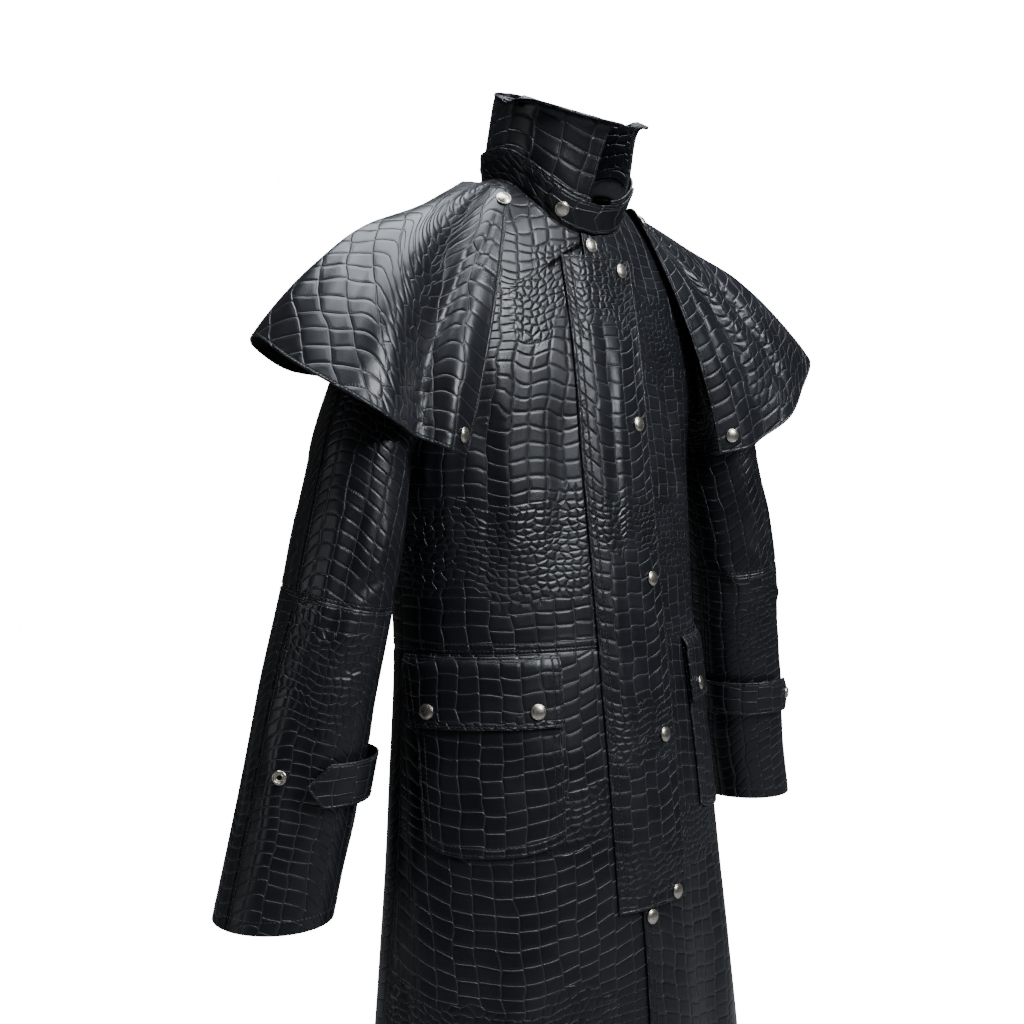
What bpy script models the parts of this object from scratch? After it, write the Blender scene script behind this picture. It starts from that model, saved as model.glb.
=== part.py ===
"""A long leather riding coat with a shoulder cape, filled out as if it were worn.

Metres, +Z up. The wearer faces -Y, and the wearer's left is +X. The origin is at the base of the neck,
level with the neck ends of the shoulder seams.
"""
import math

import bpy
import numpy as np

# Leather and seams
WALL = 0.002
SEAM_GAP = 0.0003
LAYER_GAP = 0.0008
LAYER = WALL + LAYER_GAP
SEWN_LIFT = WALL + 0.0004

# Heights of the main lines
UNDERARM = -0.250
WAIST = -0.470
HEM = -1.270

# Body sections: height, half width, depth in front of Y = 0, depth behind it, Y of the widest place
SECTIONS = (
    (-1.270, 0.268, 0.196, 0.118, -0.020),
    (-1.070, 0.252, 0.180, 0.100, -0.018),
    (-0.877, 0.234, 0.163, 0.090, -0.012),
    (-0.720, 0.217, 0.147, 0.082, -0.006),
    (-0.600, 0.206, 0.135, 0.084, 0.000),
    (-0.470, 0.193, 0.119, 0.092, 0.008),
    (-0.360, 0.196, 0.105, 0.108, 0.012),
    (-0.250, 0.205, 0.091, 0.116, 0.012),
    (-0.170, 0.236, 0.080, 0.108, 0.012),
    (-0.100, 0.270, 0.067, 0.096, 0.012),
    (-0.059, 0.290, 0.0585, 0.088, 0.012),
    (0.014, 0.310, 0.040, 0.068, 0.012),
)

# Shoulder line: neck end and arm end, in X and Z, and the radius that rounds it over the centre
SHOULDER_NECK = (0.076, -0.001)
SHOULDER_TIP = (0.222, -0.074)
SHOULDER_ROUND = 0.045
WIDENING = 0.085
SHOULDER_LEVEL = 0.995
MEAN_RADIUS = 0.16

# Armhole outline from the underarm to the shoulder: share of the way, X and Z
ARMHOLE_FRONT = (
    (0.00, 0.205, -0.250),
    (0.25, 0.188, -0.219),
    (0.50, 0.178, -0.173),
    (0.75, 0.188, -0.120),
    (1.00, 0.222, -0.074),
)
ARMHOLE_BACK = (
    (0.00, 0.205, -0.250),
    (0.25, 0.192, -0.215),
    (0.50, 0.186, -0.168),
    (0.75, 0.195, -0.115),
    (1.00, 0.222, -0.074),
)

# Neckline: distance from the centre and height, in front and behind
NECKLINE_FRONT = ((0.000, -0.059), (0.030, -0.053), (0.054, -0.037), (0.070, -0.018), (0.076, -0.001))
NECKLINE_BACK = ((0.000, 0.011), (0.035, 0.007), (0.060, 0.0015), (0.076, -0.001))
NECK_SEAM = 0.001

# Fronts: how far each passes the centre, and the flap that covers their edges
RIGHT_FRONT_REACH = 0.030
LEFT_FRONT_REACH = -0.016
FLAP_LEFT = -0.0465
FLAP_RIGHT = 0.0475
FLAP_TOP = -0.082
FLAP_BOTTOM = -0.728
FLAP_CLIMB_END = -0.022
OVERLAP_END = 0.036
OVERLAP_FADE = 0.075
FRONT_COLUMNS = 12
FRONT_CROWD = 1.25
SKIRT_CROWD = 1.4

# Collar levels: rise above the neckline, half width, half depth, centre Y
COLLAR_LEVELS = (
    (0.000, 0.0765, 0.0635, 0.0045),
    (0.034, 0.0850, 0.0680, -0.0045),
    (0.060, 0.0845, 0.0680, -0.0125),
    (0.100, 0.0830, 0.0670, -0.0255),
)
COLLAR_BACK_SHARE = 0.72
LEAF_EDGE_HEIGHT = 0.086
LEAF_EDGE_SLOPE = 0.46
NECK_FULLNESS = 0.3
STAND_TOP = 0.034
LEAF_BOTTOM = 0.022
LEAF_TOP = 0.100
LEAF_INSET = 0.0045
TAB_POINT = 6.0
STAND_FRONT_RIGHT = -6.0
STAND_FRONT_LEFT = 10.0
LEAF_FRONT_RIGHT = (-8.5, 5.5)
LEAF_FRONT_LEFT = (36.0, 33.0)
TAB_TIP = -36.0
TAB_END = 48.0
TAB_BOTTOM = 0.003
TAB_TOP = 0.030

# Arm centre line: height, X, Y, half width across, half width front to back
ARM = (
    (-0.285, 0.2570, -0.012, 0.0450, 0.0520),
    (-0.345, 0.2690, -0.013, 0.0500, 0.0545),
    (-0.410, 0.2830, -0.012, 0.0520, 0.0560),
    (-0.500, 0.3015, -0.005, 0.0540, 0.0560),
    (-0.610, 0.3215, 0.004, 0.0540, 0.0560),
    (-0.697, 0.3410, 0.008, 0.0540, 0.0570),
)
ARM_TOP = -0.285
ELBOW = -0.410
CUFF = -0.697
ELBOW_TILT = 0.012
ELBOW_TILT_TURN = 40.0
UNDERARM_FOLD = 5
UNDERARM_TURN = 1.2
CAP_START = 0.8
CAP_END = 0.9
CAP_DOWN = (0.10, 0.0, -1.0)

# Cuff strap: half height, middle height, where it is sewn on, where its point is, how far it stands off
STRAP_HALF = 0.0195
STRAP_Z = -0.568
STRAP_ROOT = -118.0
STRAP_TIP = 31.0
STRAP_POINT = 0.016
STRAP_RADIUS = 0.056
STRAP_STAND_OFF = 0.009
STRAP_STAND_OFF_END = -60.0
STRAP_RETURN = 0.003
STRAP_RETURN_START = -20.0

# Pockets, in degrees from the centre front round to the side
POCKET_FRONT = 28.0
POCKET_SIDE_TOP = 82.5
POCKET_SIDE_BOTTOM = 74.0
POCKET_TOP = -0.484
POCKET_BOTTOM = -0.660
POCKET_ROUNDING = 0.012
POCKET_FLAP_TOP = -0.4725
POCKET_FLAP_BOTTOM = -0.541
POCKET_FLAP_SIDE = 88.0
POCKET_FLAP_SEAM = 0.009
POCKET_FLAP_LIFT = 2 * LAYER + 0.001

# Cape stations from the front edge to the centre back: X, Y, Z at the neck, half way down and at the hem.
# The left side stands off a little further over the arm, as it hangs in use.
CAPE_RIGHT = (
    (0.092, -0.036, -0.020, 0.144, -0.073, -0.150, 0.186, -0.082, -0.283),
    (0.094, -0.029, -0.016, 0.168, -0.071, -0.143, 0.214, -0.092, -0.275),
    (0.095, -0.018, -0.0144, 0.192, -0.055, -0.129, 0.241, -0.077, -0.263),
    (0.096, -0.010, -0.0105, 0.217, -0.054, -0.106, 0.282, -0.100, -0.250),
    (0.097, -0.001, -0.009, 0.236, -0.036, -0.088, 0.322, -0.086, -0.226),
    (0.097, 0.008, -0.007, 0.245, -0.006, -0.077, 0.341, -0.030, -0.198),
    (0.096, 0.017, -0.005, 0.242, 0.026, -0.075, 0.337, 0.036, -0.172),
    (0.093, 0.028, -0.003, 0.225, 0.060, -0.080, 0.310, 0.084, -0.178),
    (0.086, 0.042, 0.000, 0.188, 0.094, -0.092, 0.252, 0.114, -0.197),
    (0.070, 0.058, 0.004, 0.126, 0.120, -0.105, 0.174, 0.136, -0.204),
    (0.040, 0.073, 0.008, 0.062, 0.130, -0.112, 0.090, 0.148, -0.224),
    (0.000, 0.079, 0.010, 0.000, 0.131, -0.114, 0.000, 0.150, -0.234),
)
CAPE_LEFT = (
    (0.092, -0.036, -0.020, 0.138, -0.074, -0.150, 0.177, -0.085, -0.281),
    (0.094, -0.029, -0.016, 0.166, -0.076, -0.145, 0.212, -0.099, -0.274),
    (0.095, -0.018, -0.0144, 0.194, -0.068, -0.134, 0.242, -0.092, -0.264),
    (0.096, -0.010, -0.0105, 0.226, -0.068, -0.116, 0.282, -0.101, -0.240),
    (0.097, -0.001, -0.009, 0.254, -0.060, -0.100, 0.320, -0.090, -0.208),
    (0.097, 0.008, -0.007, 0.266, -0.036, -0.083, 0.353, -0.074, -0.166),
    (0.096, 0.017, -0.005, 0.256, 0.010, -0.073, 0.347, 0.000, -0.156),
    (0.093, 0.028, -0.003, 0.232, 0.056, -0.078, 0.318, 0.070, -0.163),
    (0.086, 0.042, 0.000, 0.188, 0.094, -0.092, 0.254, 0.112, -0.188),
    (0.070, 0.058, 0.004, 0.126, 0.120, -0.105, 0.174, 0.136, -0.204),
    (0.040, 0.073, 0.008, 0.062, 0.130, -0.112, 0.090, 0.148, -0.224),
    (0.000, 0.079, 0.010, 0.000, 0.131, -0.114, 0.000, 0.150, -0.234),
)

CAPE_DIP = 0.0072
CAPE_DIP_END = 0.45
CAPE_DIP_STATIONS = (0.30, 0.50)
CAPE_GIRTH = 0.7

# Snaps
CAP_RADIUS = 0.0075
CAP_HEIGHT = 0.0028
SOCKET_RADIUS = 0.0065
SOCKET_HOLE = 0.0026
SOCKET_HEIGHT = 0.0022
SNAP_SIDES = 12

# Snap places: X and height, degrees and rise, degrees and height, or shares along and down the cape
FLAP_SNAP_X = 0.031
FLAP_SNAP_TOP = -0.094
FLAP_SNAP_PITCH = 0.1565
INNER_SNAP_X = -0.0055
INNER_SNAP_HEIGHTS = (-0.0700, -0.7370)
THROAT_SNAP = (-25.0, 0.0130)
POCKET_SNAPS = (36.0, 74.0)
POCKET_SNAP_Z = -0.525
CAPE_TOP_SNAP = (0.045, 0.045)
CAPE_HEM_SNAP = (0.042, 0.925)
SOCKET_PLACES = {"right": 56.0, "left": 6.0}
SOCKET_Z = -0.561
STRAP_SNAP_BACK = 11.0
STRAP_SNAP_UNDER = ("right",)
STRAP_SNAP_DROP = 0.0008

# Colours: base colour, roughness, metallic
LEATHER = ((0.020, 0.021, 0.024), 0.38, 0.0)
NICKEL = ((0.62, 0.60, 0.56), 0.28, 1.0)


def clear_scene():
    for obj in list(bpy.data.objects):
        bpy.data.objects.remove(obj, do_unlink=True)


def make_material(name, look):
    colour, roughness, metallic = look
    material = bpy.data.materials.new(name)
    material.use_nodes = True
    shader = material.node_tree.nodes["Principled BSDF"]
    shader.inputs["Base Color"].default_value = (*colour, 1.0)
    shader.inputs["Roughness"].default_value = roughness
    shader.inputs["Metallic"].default_value = metallic
    return material


def smooth_row(table, value):
    """Reads a table at a value of its first column, along a smooth curve through its rows."""
    rows = sorted(table)
    keys = [row[0] for row in rows]
    value = min(max(value, keys[0]), keys[-1])
    index = min(max(int(np.searchsorted(keys, value)) - 1, 0), len(rows) - 2)
    low = np.array(rows[index][1:])
    high = np.array(rows[index + 1][1:])
    span = keys[index + 1] - keys[index]
    before = max(index - 1, 0)
    after = min(index + 2, len(rows) - 1)
    slope_low = (high - np.array(rows[before][1:])) / (keys[index + 1] - keys[before])
    slope_high = (np.array(rows[after][1:]) - low) / (keys[after] - keys[index])
    s = (value - keys[index]) / span
    return (
        low * (2 * s**3 - 3 * s**2 + 1)
        + slope_low * span * (s**3 - 2 * s**2 + s)
        + high * (3 * s**2 - 2 * s**3)
        + slope_high * span * (s**3 - s**2)
    )


def ease(value, start, end):
    """Rises from 0 at start to 1 at end with no corner."""
    s = min(max((value - start) / (end - start), 0.0), 1.0)
    return s * s * (3 - 2 * s)


def shoulder_height(x):
    """Height of the shoulder line, straight out to the arm and rounded over the centre."""
    run = math.hypot(x, SHOULDER_ROUND)
    neck_run = math.hypot(SHOULDER_NECK[0], SHOULDER_ROUND)
    tip_run = math.hypot(SHOULDER_TIP[0], SHOULDER_ROUND)
    slope = (SHOULDER_TIP[1] - SHOULDER_NECK[1]) / (tip_run - neck_run)
    return SHOULDER_NECK[1] + slope * (run - neck_run)


def roundover(share):
    return math.sqrt(max(1.0 - share**3, 0.0)) if share > 0 else 1.0


def body(angle, level):
    """Outer point of the coat's left half at an angle from the centre front and a level.

    A level below 0 is a height under the underarm. Above it the level runs to 1 at the shoulder line,
    and the surface rounds over to meet it."""
    if level <= 0:
        z = UNDERARM + level
        half, front, back, widest = smooth_row(SECTIONS, z)
        x = half * math.sin(angle)
        fullness = 1.0
    else:
        share = math.sin(min(level, 1.0) * math.pi / 2)
        half = smooth_row(SECTIONS, UNDERARM)[0] + WIDENING * share
        x = half * math.sin(angle)
        z = UNDERARM + (shoulder_height(x) - UNDERARM) * share
        front, back, widest = smooth_row(SECTIONS, z)[1:]
        middle = (z - UNDERARM) / (shoulder_height(0.0) - UNDERARM)
        fullness = roundover(share) / roundover(middle)
    depth = front + widest if math.cos(angle) > 0 else back - widest
    return np.array((x, widest - depth * math.cos(angle) * fullness, z))


def body_place(x, z, behind=False):
    """Angle and level of the body point at X and height z."""
    if z <= UNDERARM:
        level = z - UNDERARM
        half = smooth_row(SECTIONS, z)[0]
    else:
        share = (z - UNDERARM) / (shoulder_height(x) - UNDERARM)
        level = math.asin(min(share, 1.0)) * 2 / math.pi
        half = smooth_row(SECTIONS, UNDERARM)[0] + WIDENING * min(share, 1.0)
    angle = math.asin(min(max(x / half, -1.0), 1.0))
    return (math.pi - angle if behind else angle), level


def outward(surface, u, v, step=1e-4):
    """Unit normal of a surface, which faces away from the hollow."""
    along = surface(u + step, v) - surface(u - step, v)
    up = surface(u, v + step) - surface(u, v - step)
    normal = np.cross(along, up)
    return normal / np.linalg.norm(normal)


def lifted(surface, u, v, lift):
    return surface(u, v) + outward(surface, u, v) * lift


def body_lifted(angle, level, lift):
    """Body point moved out. At the shoulder line the normal is read just below the line."""
    read = min(level, 0.999)
    return body(angle, level) + outward(body, angle, read) * lift


def signed_volume(points, faces):
    total = 0.0
    for face in faces:
        a = points[face[0]]
        for first, second in zip(face[1:-1], face[2:]):
            total += float(np.dot(a, np.cross(points[first], points[second])))
    return total / 6


def add_object(name, points, faces, material, smooth_angle=40.0):
    if signed_volume(points, faces) < 0:
        faces = [tuple(reversed(face)) for face in faces]
    mesh = bpy.data.meshes.new(name)
    mesh.from_pydata([tuple(point) for point in points], [], faces)
    mesh.materials.append(material)
    mesh.shade_smooth()
    mesh.set_sharp_from_angle(angle=math.radians(smooth_angle))
    obj = bpy.data.objects.new(name, mesh)
    bpy.context.scene.collection.objects.link(obj)
    return obj


def sheet_solid(name, outer, inner, material, closed=False):
    """A wall between two grids of points. A closed grid runs round, so its last column meets its first."""
    rows = len(outer)
    columns = len(outer[0])
    points = [point for row in outer for point in row] + [point for row in inner for point in row]
    half = rows * columns

    def at(row, column, layer=0):
        return layer * half + row * columns + column % columns

    faces = []
    spans = columns if closed else columns - 1
    for row in range(rows - 1):
        for column in range(spans):
            quad = (at(row, column), at(row, column + 1), at(row + 1, column + 1), at(row + 1, column))
            faces.append(quad)
            faces.append(tuple(reversed([index + half for index in quad])))
    for column in range(spans):
        faces.append((at(0, column + 1), at(0, column), at(0, column, 1), at(0, column + 1, 1)))
        last = rows - 1
        faces.append((at(last, column), at(last, column + 1), at(last, column + 1, 1), at(last, column, 1)))
    if not closed:
        for row in range(rows - 1):
            last = columns - 1
            faces.append((at(row, 0), at(row + 1, 0), at(row + 1, 0, 1), at(row, 0, 1)))
            faces.append((at(row + 1, last), at(row, last), at(row, last, 1), at(row + 1, last, 1)))
    return add_object(name, points, faces, material)


def mirrored(grid, side):
    return [[point * np.array((side, 1.0, 1.0)) for point in row] for row in grid]


def spread(start, end, count):
    return [start + (end - start) * index / count for index in range(count + 1)]


# Bodice and skirt

def front_lift(x, over):
    """The left front rides over the right front, and comes down past its edge."""
    return LAYER * (1 - ease(x, OVERLAP_END, OVERLAP_FADE)) if over else 0.0


def bodice_top(neckline, x):
    """Height of the bodice's neck edge: just below the collar, and up at the ridge where the shoulder seam ends."""
    return smooth_row(neckline, abs(x))[0] - NECK_SEAM * (1 - abs(x) / SHOULDER_NECK[0])


def neck_x(angle):
    """Distance of the neckline from the centre, at an angle from the centre front or the centre back."""
    return SHOULDER_NECK[0] * math.sin(angle) * (1 + NECK_FULLNESS * math.cos(angle) ** 2)


def front_panel_rows(reach, bottom_rows=5, edge_rows=6, neck_rows=6):
    """Outer and inner end of each row of a bodice front, as angle and level."""
    rows = []
    for z in spread(WAIST + SEAM_GAP / 2, UNDERARM, bottom_rows)[:-1]:
        rows.append(((math.pi / 2, z - UNDERARM), body_place(reach, z)))
    inner = [body_place(reach, z) for z in spread(UNDERARM, bodice_top(NECKLINE_FRONT, reach), edge_rows)]
    start = reach / (SHOULDER_NECK[0] * (1 + NECK_FULLNESS))
    for x in (neck_x(angle) for angle in spread(start, math.pi / 2, neck_rows)[1:]):
        inner.append(body_place(x, bodice_top(NECKLINE_FRONT, x)))
    shares = spread(0.0, 1.0, len(inner) - 1)
    for share, end in zip(shares, inner):
        x, z = smooth_row(ARMHOLE_FRONT, share)
        rows.append((body_place(x, z), end))
    rows[bottom_rows] = ((math.pi / 2, 0.0), rows[bottom_rows][1])
    return rows


def back_panel_rows(bottom_rows=4, centre_rows=6, neck_rows=6):
    rows = []
    for z in spread(WAIST + SEAM_GAP / 2, UNDERARM, bottom_rows)[:-1]:
        rows.append(((math.pi / 2, z - UNDERARM), (math.pi, z - UNDERARM)))
    inner = [body_place(0.0, z, True) for z in spread(UNDERARM, bodice_top(NECKLINE_BACK, 0.0), centre_rows)]
    for x in (neck_x(angle) for angle in spread(0.0, math.pi / 2, neck_rows)[1:]):
        inner.append(body_place(x, bodice_top(NECKLINE_BACK, x), True))
    shares = spread(0.0, 1.0, len(inner) - 1)
    for share, end in zip(shares, inner):
        x, z = smooth_row(ARMHOLE_BACK, share)
        rows.append((body_place(x, z, True), end))
    rows[bottom_rows] = ((math.pi / 2, 0.0), rows[bottom_rows][1])
    return rows


def panel_grids(rows, columns, side_gap, centre_gap, lift=None, crowd=1.0):
    """Outer and inner points of a panel whose rows run from the side to the centre.

    A crowd over 1 sets the columns closer toward the centre, where the fronts lie on each other."""
    outer = []
    inner = []
    for (angle_side, level_side), (angle_centre, level_centre) in rows:
        outer_row = []
        inner_row = []
        length = abs(angle_centre - angle_side) * MEAN_RADIUS
        for index in range(columns + 1):
            share = 1 - (1 - index / columns) ** crowd
            if index == 0:
                share = side_gap / length
            if index == columns:
                share = 1 - centre_gap / length
            angle = angle_side + (angle_centre - angle_side) * share
            level = level_side + (level_centre - level_side) * share
            if level > SHOULDER_LEVEL:
                level = 1 - SEAM_GAP * 2
            raise_by = lift(body(angle, level)[0]) if lift else 0.0
            outer_row.append(body_lifted(angle, level, raise_by))
            inner_row.append(body_lifted(angle, level, raise_by - WALL))
        outer.append(outer_row)
        inner.append(inner_row)
    return outer, inner


def make_bodice(material):
    for name, side, reach, over in (("front_right", -1, -RIGHT_FRONT_REACH, False),
                                    ("front_left", 1, LEFT_FRONT_REACH, True)):
        outer, inner = panel_grids(front_panel_rows(reach), FRONT_COLUMNS, SEAM_GAP / 2, 0.0,
                                   lambda x, over=over: front_lift(x, over), FRONT_CROWD)
        sheet_solid(name, mirrored(outer, side), mirrored(inner, side), material)
    for name, side in (("back_right", -1), ("back_left", 1)):
        outer, inner = panel_grids(back_panel_rows(), 8, SEAM_GAP / 2, SEAM_GAP / 2)
        sheet_solid(name, mirrored(outer, side), mirrored(inner, side), material)


def make_skirt(material, rows=8):
    heights = [WAIST - SEAM_GAP / 2 + (HEM - WAIST) * share**SKIRT_CROWD for share in spread(1.0, 0.0, rows)]
    for name, side, reach, over in (("skirt_front_right", -1, -RIGHT_FRONT_REACH, False),
                                    ("skirt_front_left", 1, LEFT_FRONT_REACH, True)):
        ends = [((math.pi / 2, z - UNDERARM), body_place(reach, z)) for z in heights]
        outer, inner = panel_grids(ends, FRONT_COLUMNS, SEAM_GAP / 2, 0.0,
                                   lambda x, over=over: front_lift(x, over), FRONT_CROWD)
        sheet_solid(name, mirrored(outer, side), mirrored(inner, side), material)
    for name, side in (("skirt_back_right", -1), ("skirt_back_left", 1)):
        ends = [((math.pi / 2, z - UNDERARM), (math.pi, z - UNDERARM)) for z in heights]
        outer, inner = panel_grids(ends, 9, SEAM_GAP / 2, SEAM_GAP / 2)
        sheet_solid(name, mirrored(outer, side), mirrored(inner, side), material)


def flap_lift(x):
    """The storm flap is sewn down on the right front, then climbs over the left front's edge."""
    return SEWN_LIFT + (2 * LAYER + LAYER_GAP - SEWN_LIFT) * ease(x, FLAP_LEFT, FLAP_CLIMB_END)


def front_at(x, z, lift):
    """A point of the fronts at X and height z, moved out."""
    angle, level = body_place(x, z)
    return body_lifted(angle, level, lift)


def make_storm_flap(material, columns=8, rows=22):
    outer = []
    inner = []
    for z in spread(FLAP_BOTTOM, FLAP_TOP, rows):
        across = spread(FLAP_LEFT, FLAP_RIGHT, columns)
        outer.append([front_at(x, z, flap_lift(x)) for x in across])
        inner.append([front_at(x, z, flap_lift(x) - WALL) for x in across])
    sheet_solid("storm_flap", outer, inner, material)


# Collar

def neck_height(x, behind):
    return smooth_row(NECKLINE_BACK if behind else NECKLINE_FRONT, abs(x))[0]


def neckline(angle):
    """The bodice's outer point at the neck edge, at an angle from the centre front."""
    x = neck_x(angle)
    behind = math.cos(angle) < 0
    place = body_place(x, neck_height(x, behind), behind)
    return body(*place)


def collar(angle, rise):
    """Outer point of the collar at an angle from the centre front, to the left, and a rise.

    The stand follows the neckline, and the leaf above it evens out to a flat, sloping top edge."""
    half, depth, centre = smooth_row(COLLAR_LEVELS, rise)
    _, base_half, base_depth, base_centre = COLLAR_LEVELS[0]
    front_share = ((1 + math.cos(angle)) / 2) ** 2
    growth = np.array((
        (half - base_half) * math.sin(angle),
        centre - base_centre - (depth - base_depth) * math.cos(angle),
        rise * (COLLAR_BACK_SHARE + (1 - COLLAR_BACK_SHARE) * front_share),
    ))
    point = neckline(angle) + growth
    edge_height = LEAF_EDGE_HEIGHT + LEAF_EDGE_SLOPE * point[1]
    point[2] += (edge_height - point[2]) * ease(rise, STAND_TOP, LEAF_TOP)
    return point


def leaf_lift(rise):
    """The leaf is sewn to the inside of the stand, and leaves it a little above that seam."""
    return -LAYER - (LEAF_INSET - LAYER) * ease(rise, LEAF_BOTTOM, STAND_TOP)


def collar_strip(name, material, ends_bottom, ends_top, rises, lift_at, columns):
    outer = []
    inner = []
    for index, rise in enumerate(rises):
        share = index / (len(rises) - 1)
        lift = lift_at(rise)
        start = math.radians(ends_bottom[0] + (ends_top[0] - ends_bottom[0]) * share)
        end = math.radians(ends_bottom[1] + (ends_top[1] - ends_bottom[1]) * share)
        angles = spread(start, end, columns)
        outer.append([lifted(collar, angle, rise, lift) for angle in angles])
        inner.append([lifted(collar, angle, rise, lift - WALL) for angle in angles])
    sheet_solid(name, outer, inner, material)


def make_collar(material):
    stand_ends = (STAND_FRONT_LEFT, 360 + STAND_FRONT_RIGHT)
    leaf_bottom = (LEAF_FRONT_LEFT[0], 360 + LEAF_FRONT_RIGHT[0])
    leaf_top = (LEAF_FRONT_LEFT[1], 360 + LEAF_FRONT_RIGHT[1])
    collar_strip("collar_stand", material, stand_ends, stand_ends, spread(LAYER_GAP, STAND_TOP, 3),
                 lambda rise: 0.0, 32)
    collar_strip("collar_leaf", material, leaf_bottom, leaf_top, spread(LEAF_BOTTOM, LEAF_TOP, 4),
                 leaf_lift, 30)
    outer = []
    inner = []
    middle = (TAB_TOP + TAB_BOTTOM) / 2
    for rise in (TAB_BOTTOM, (TAB_BOTTOM + middle) / 2, middle, (TAB_TOP + middle) / 2, TAB_TOP):
        retreat = TAB_POINT * abs(rise - middle) / (middle - TAB_BOTTOM)
        angles = spread(math.radians(TAB_TIP + retreat), math.radians(TAB_END), 12)
        outer.append([lifted(collar, angle, rise, LAYER) for angle in angles])
        inner.append([lifted(collar, angle, rise, LAYER_GAP) for angle in angles])
    sheet_solid("throat_tab", outer, inner, material)


# Sleeves

def arm(angle, z):
    """Outer point of the left sleeve below the cap. The angle runs from the front to the outer side."""
    x, y, half_x, half_y = smooth_row(ARM, z)
    return np.array((x + half_x * math.sin(angle), y - half_y * math.cos(angle), z))


def armhole(angle):
    """Armhole point that belongs to a sleeve angle: the outer side leads to the shoulder."""
    turn = (math.degrees(angle) + 90.0) % 360.0
    if turn <= 180.0:
        x, z = smooth_row(ARMHOLE_FRONT, turn / 180.0)
        place = body_place(x, z)
    else:
        x, z = smooth_row(ARMHOLE_BACK, (360.0 - turn) / 180.0)
        place = body_place(x, z, True)
    level = min(place[1], 1 - SEAM_GAP * 2)
    if turn in (0.0, 360.0):
        place = (math.pi / 2, 0.0)
        level = 0.0
    return body_lifted(place[0], level, 0.0), body_lifted(place[0], level, -WALL)


def cap_directions(loop):
    """For each armhole point, the way that leads out of the bodice along its surface.

    Under the arm it also turns away from the body, so that the sleeve folds down clear of the side."""
    count = len(loop)
    ways = []
    for index in range(count):
        outer, inner = loop[index]
        tangent = loop[(index + 1) % count][0] - loop[index - 1][0]
        way = np.cross(outer - inner, tangent)
        way = way / np.linalg.norm(way)
        under = max(1 - min(index, count - index) / UNDERARM_FOLD, 0.0)
        way = way + np.array((UNDERARM_TURN * under, 0.0, 0.0))
        ways.append(way / np.linalg.norm(way))
    return ways


def sleeve_cap_point(start, way, end, down, share):
    reach = np.linalg.norm(end - start)
    h00 = 2 * share**3 - 3 * share**2 + 1
    h10 = share**3 - 2 * share**2 + share
    h01 = 3 * share**2 - 2 * share**3
    h11 = share**3 - share**2
    return start * h00 + way * reach * CAP_START * h10 + end * h01 + down * reach * CAP_END * h11


def elbow_height(angle):
    """The elbow seam drops a little toward the body's front."""
    return ELBOW + ELBOW_TILT * math.sin(angle - math.radians(ELBOW_TILT_TURN))


def make_sleeves(material, around=24, cap_rings=6):
    angles = [2 * math.pi * index / around - math.pi / 2 for index in range(around)]
    loop = [armhole(angle) for angle in angles]
    ways = cap_directions(loop)
    down = np.array(CAP_DOWN)
    outer = [[point + way * SEAM_GAP for (point, _), way in zip(loop, ways)]]
    for ring in range(1, cap_rings):
        share = ring / cap_rings
        outer.append([sleeve_cap_point(point, way, arm(angle, ARM_TOP), down, share)
                      for (point, _), way, angle in zip(loop, ways, angles)])
    outer.append([arm(angle, ARM_TOP) for angle in angles])
    upper_end = [elbow_height(angle) + SEAM_GAP / 2 for angle in angles]
    for share in (1 / 3, 2 / 3, 1.0):
        outer.append([arm(angle, ARM_TOP + (end - ARM_TOP) * share) for angle, end in zip(angles, upper_end)])
    inner = wall_inside(outer)
    inner[0] = [point + way * SEAM_GAP for (_, point), way in zip(loop, ways)]
    inner[-1] = [lifted(arm, angle, end, -WALL) for angle, end in zip(angles, upper_end)]
    lower_outer = []
    lower_inner = []
    lower_start = [elbow_height(angle) - SEAM_GAP / 2 for angle in angles]
    for share in spread(0.0, 1.0, 4):
        heights = [start + (CUFF - start) * share for start in lower_start]
        lower_outer.append([lifted(arm, angle, z, 0.0) for angle, z in zip(angles, heights)])
        lower_inner.append([lifted(arm, angle, z, -WALL) for angle, z in zip(angles, heights)])
    for name, side in (("right", -1), ("left", 1)):
        sheet_solid("sleeve_upper_" + name, mirrored(outer, side), mirrored(inner, side), material, True)
        sheet_solid("sleeve_lower_" + name, mirrored(lower_outer, side), mirrored(lower_inner, side),
                    material, True)


def wall_inside(grid):
    """The inner points of a closed grid of rings, one wall in from its outer points."""
    rows = len(grid)
    columns = len(grid[0])
    inner = []
    for row in range(rows):
        above = grid[max(row - 1, 0)]
        below = grid[min(row + 1, rows - 1)]
        line = []
        for column in range(columns):
            along = grid[row][(column + 1) % columns] - grid[row][column - 1]
            down = below[column] - above[column]
            normal = np.cross(along, down)
            normal = normal / np.linalg.norm(normal)
            line.append(grid[row][column] + normal * WALL)
        inner.append(line)
    return inner


def strap_lift(angle):
    """The open strap hugs the sleeve where it is sewn on and stands off along its free length."""
    turned = math.degrees(angle)
    away = STRAP_STAND_OFF * ease(turned, STRAP_ROOT, STRAP_STAND_OFF_END)
    return LAYER + away - STRAP_RETURN * ease(turned, STRAP_RETURN_START, STRAP_TIP)


def make_cuff_straps(material, columns=12):
    outer = []
    inner = []
    for across in (-1.0, -0.5, 0.0, 0.5, 1.0):
        z = STRAP_Z + across * STRAP_HALF
        retreat = math.degrees(STRAP_POINT / STRAP_RADIUS) * abs(across)
        angles = spread(math.radians(STRAP_ROOT), math.radians(STRAP_TIP - retreat), columns)
        outer.append([lifted(arm, angle, z, strap_lift(angle)) for angle in angles])
        inner.append([lifted(arm, angle, z, strap_lift(angle) - WALL) for angle in angles])
    for name, side in (("right", -1), ("left", 1)):
        sheet_solid("cuff_strap_" + name, mirrored(outer, side), mirrored(inner, side), material)


# Cape

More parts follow.
